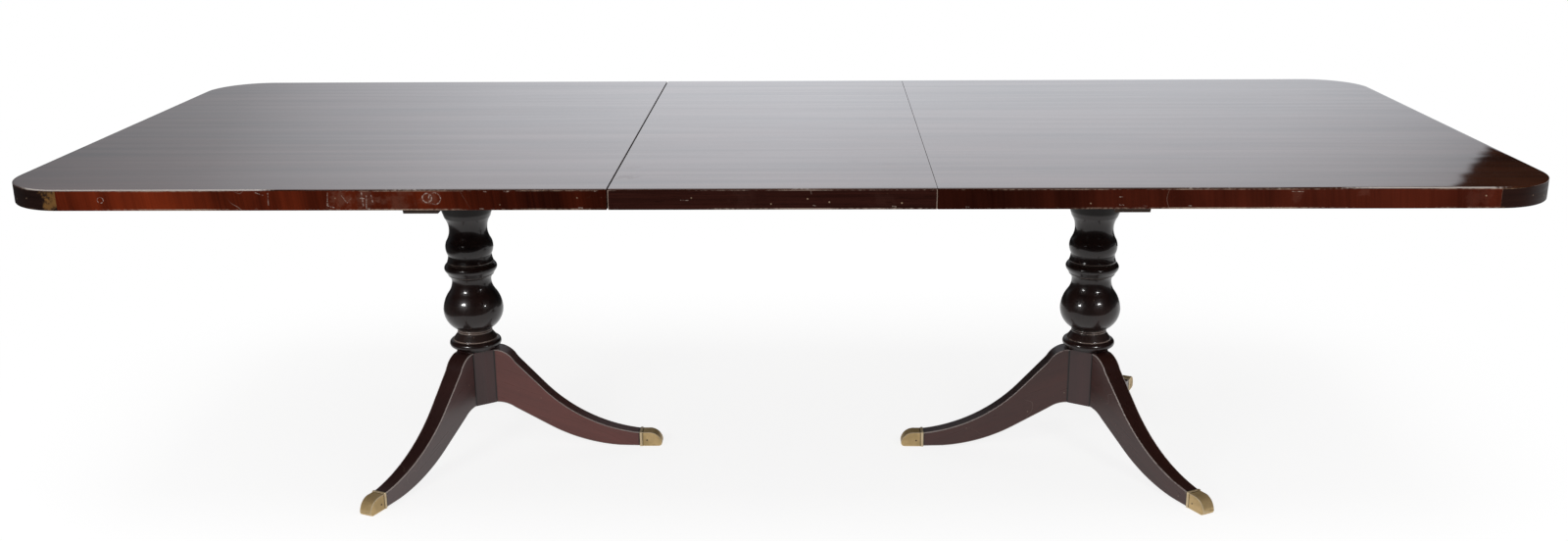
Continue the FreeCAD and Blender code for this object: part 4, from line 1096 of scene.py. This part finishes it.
def makeLeg(side, place, turn):
    ahead, aside, axis = legFrame(side, turn)
    node = "%s_%s_leg" % (side, place)
    low, high = nodeBox(node)
    start, toe, steps = pedestal["hubSeat"], legShape["toeHeight"], legShape["steps"]
    length = capShape["reach"] - capShape["length"] - start
    hubLow = nodeBox(side + "_column")[0][2]
    upper = trace(scaledRows(legTopRows, start, length, toe, high[2] - toe), steps)
    lower = trace(scaledRows(legUnderRows, start, length, low[2], hubLow - low[2]), steps)
    # the sides taper evenly from the hub to the toe
    out = np.clip((0.5 * (upper + lower)[:, 0] - start) / length, 0, 1)
    width = pedestal["legWidth"] + (pedestal["toeWidth"] - pedestal["legWidth"]) * out
    points, ring, worn = barBetween(upper, lower, width, legShape, (ahead, aside, axis))
    # the grain runs straight down the plank that the leg is sawn from
    chord = unit(np.array((length, hubLow - high[2])))
    local = points - axis
    along = local @ ahead * chord[0] + local[..., 2] * chord[1]
    over = local[..., 2] * chord[0] - local @ ahead * chord[1]
    grain = np.stack([along, local @ aside + turn, over], axis=-1)
    # painted shade: the upper face and the ends where the leg meets its neighbours are painted darker and
    # lose their coat
    crest = legShape["topFrom"] * ring[..., 1].max(axis=1, keepdims=True)
    grime = legShape["topShade"] * (ring[..., 1] > crest)
    grime[[0, -1]] = legShape["jointShade"]
    name = side + place.capitalize()
    wood = legWood.get(name, legWood[side])
    shells = [shell(points, grain, worn, grime)]
    makePiece(name + "Leg", shells, [wood], bodies[side], node)


# toe caps: a bullnose box with a raised collar at the leg and a pin on each side
capShape = {"reach": 0.427, "length": 0.052, "height": 0.035, "steps": 44, "arris": 0.0012, "arrisSteps": 5,
            "flank": 0.0010, "arrisWear": 1.4, "noseIn": 0.0012, "noseFrom": 0.375,
            "collar": 0.006, "proud": 0.0015, "collarArris": 0.0009, "collarWear": 0.80, "rimWear": 1.6,
            "lineMiddle": 0.0008, "lineHalf": 0.0016, "lineDepth": 1.6,
            "pinRadius": 0.0021, "pinTip": 0.08, "pinProud": 0.0006, "pinSunk": 0.001, "pinSetback": 0.017,
            "pinHeight": 0.015, "domeSteps": 6, "pinAround": 16}
capTopRows = [(0.000, 1.000), (0.360, 1.000), (0.800, 0.800, "via"), (1.000, 0.260)]
capUnderRows = [(0.000, 0.000), (0.860, 0.000), (0.965, 0.075, "via"), (1.000, 0.260)]


def makeToeCap(side, place, turn):
    axes = legFrame(side, turn)
    length, collar, soft = capShape["length"], capShape["collar"], capShape["collarArris"]
    start = capShape["reach"] - length
    upper, lower = (trace(scaledRows(rows, start, length, 0.0, capShape["height"]), capShape["steps"])[:-1]
                    for rows in (capTopRows, capUnderRows))
    # the sides draw in round the nose as a quarter ellipse does
    near = np.clip((np.minimum(upper[:, 0], lower[:, 0]) - start) / length, 0, 1)
    nose = np.clip((near - capShape["noseFrom"]) / (1 - capShape["noseFrom"]), 0, 1)
    width = pedestal["toeWidth"] - 2 * capShape["noseIn"] * (1 - np.sqrt(1 - nose ** 2))
    points, _, worn = barBetween(upper, lower, width, capShape, axes)
    # tarnish gathers along the collar
    fromLine = np.abs(upper[:, 0] - start - collar - capShape["lineMiddle"])
    beside = np.clip(capShape["lineDepth"] * (1 - fromLine / capShape["lineHalf"]), 0, 1)
    shells = [shell(points, arris=capShape["arrisWear"] * worn, grime=beside[:, None])]
    ends = start + np.array((0.0, soft, collar - soft, collar))
    grown = capShape["proud"] - soft * np.array((1.0, 0.0, 0.0, 1.0))
    upper = np.stack([ends, capShape["height"] + grown], axis=-1)
    lower = np.stack([ends, np.zeros_like(ends)], axis=-1)
    points, _, worn = barBetween(upper, lower, pedestal["toeWidth"] + 2 * grown, capShape, axes)
    shells.append(shell(points, arris=np.maximum(capShape["rimWear"] * worn, capShape["collarWear"])))
    node = "%s_%s_toe_cap" % (side, place)
    makePiece(side + place.capitalize() + "ToeCap", shells, [agedBrass], bodies[side], node)


def makeToePins(side):
    # domed heads: a quarter circle turned about the pin's own axis, out of each side of each cap
    shells = []
    proud = capShape["pinProud"]
    lift = np.linspace(0, pi / 2, capShape["domeSteps"])[:-1]
    turn = np.linspace(0, 2 * pi, capShape["pinAround"], endpoint=False)
    radius = capShape["pinRadius"] * np.concatenate([[1.0], np.cos(lift), [capShape["pinTip"]]])
    depth = np.concatenate([[-capShape["pinSunk"]], proud * np.sin(lift), [proud]])
    out = capShape["reach"] - capShape["length"] + capShape["pinSetback"]
    for angle in legTurns(side).values():
        ahead, aside, axis = legFrame(side, angle)
        disc = np.cos(turn)[:, None] * ahead + np.sin(turn)[:, None] * up
        for facing in (-1, 1):
            outward = facing * aside
            seat = axis + out * ahead + capShape["pinHeight"] * up + pedestal["toeWidth"] / 2 * outward
            shells.append(shell(seat + radius[:, None, None] * disc + depth[:, None, None] * outward))
    makePiece(side + "ToePins", shells, [pinBrass], bodies[side], side + "_toe_pins")


columns = []
for side in sides:
    columns.append(makeColumn(side))
    for place, turn in legTurns(side).items():
        makeLeg(side, place, turn)
        makeToeCap(side, place, turn)
    makeToePins(side)
# two lamps are for the shine of the columns alone
linkLamps(("columnLeft", "columnRight"), "shiningColumns", columns, "INCLUDE")
print("pedestals made")


# pieces that keep their solid and get a finish
keptFinishes = {
    "_rail": railWood, "_slide_middle": railWood, "_leaf_pegs": railWood, "_leg_dowels": railWood,
    "_bearer": bearerWood, "_top_block": bearerWood, "_screws": screwSteel,
    "_lever": agedBrass, "_lock_plates": agedBrass, "_lock_keepers": agedBrass}
for name, node in nodes.items():
    for ending, material in keptFinishes.items():
        if name.endswith(ending):
            node.data.materials.clear()
            node.data.materials.append(material)
print("kept pieces finished")
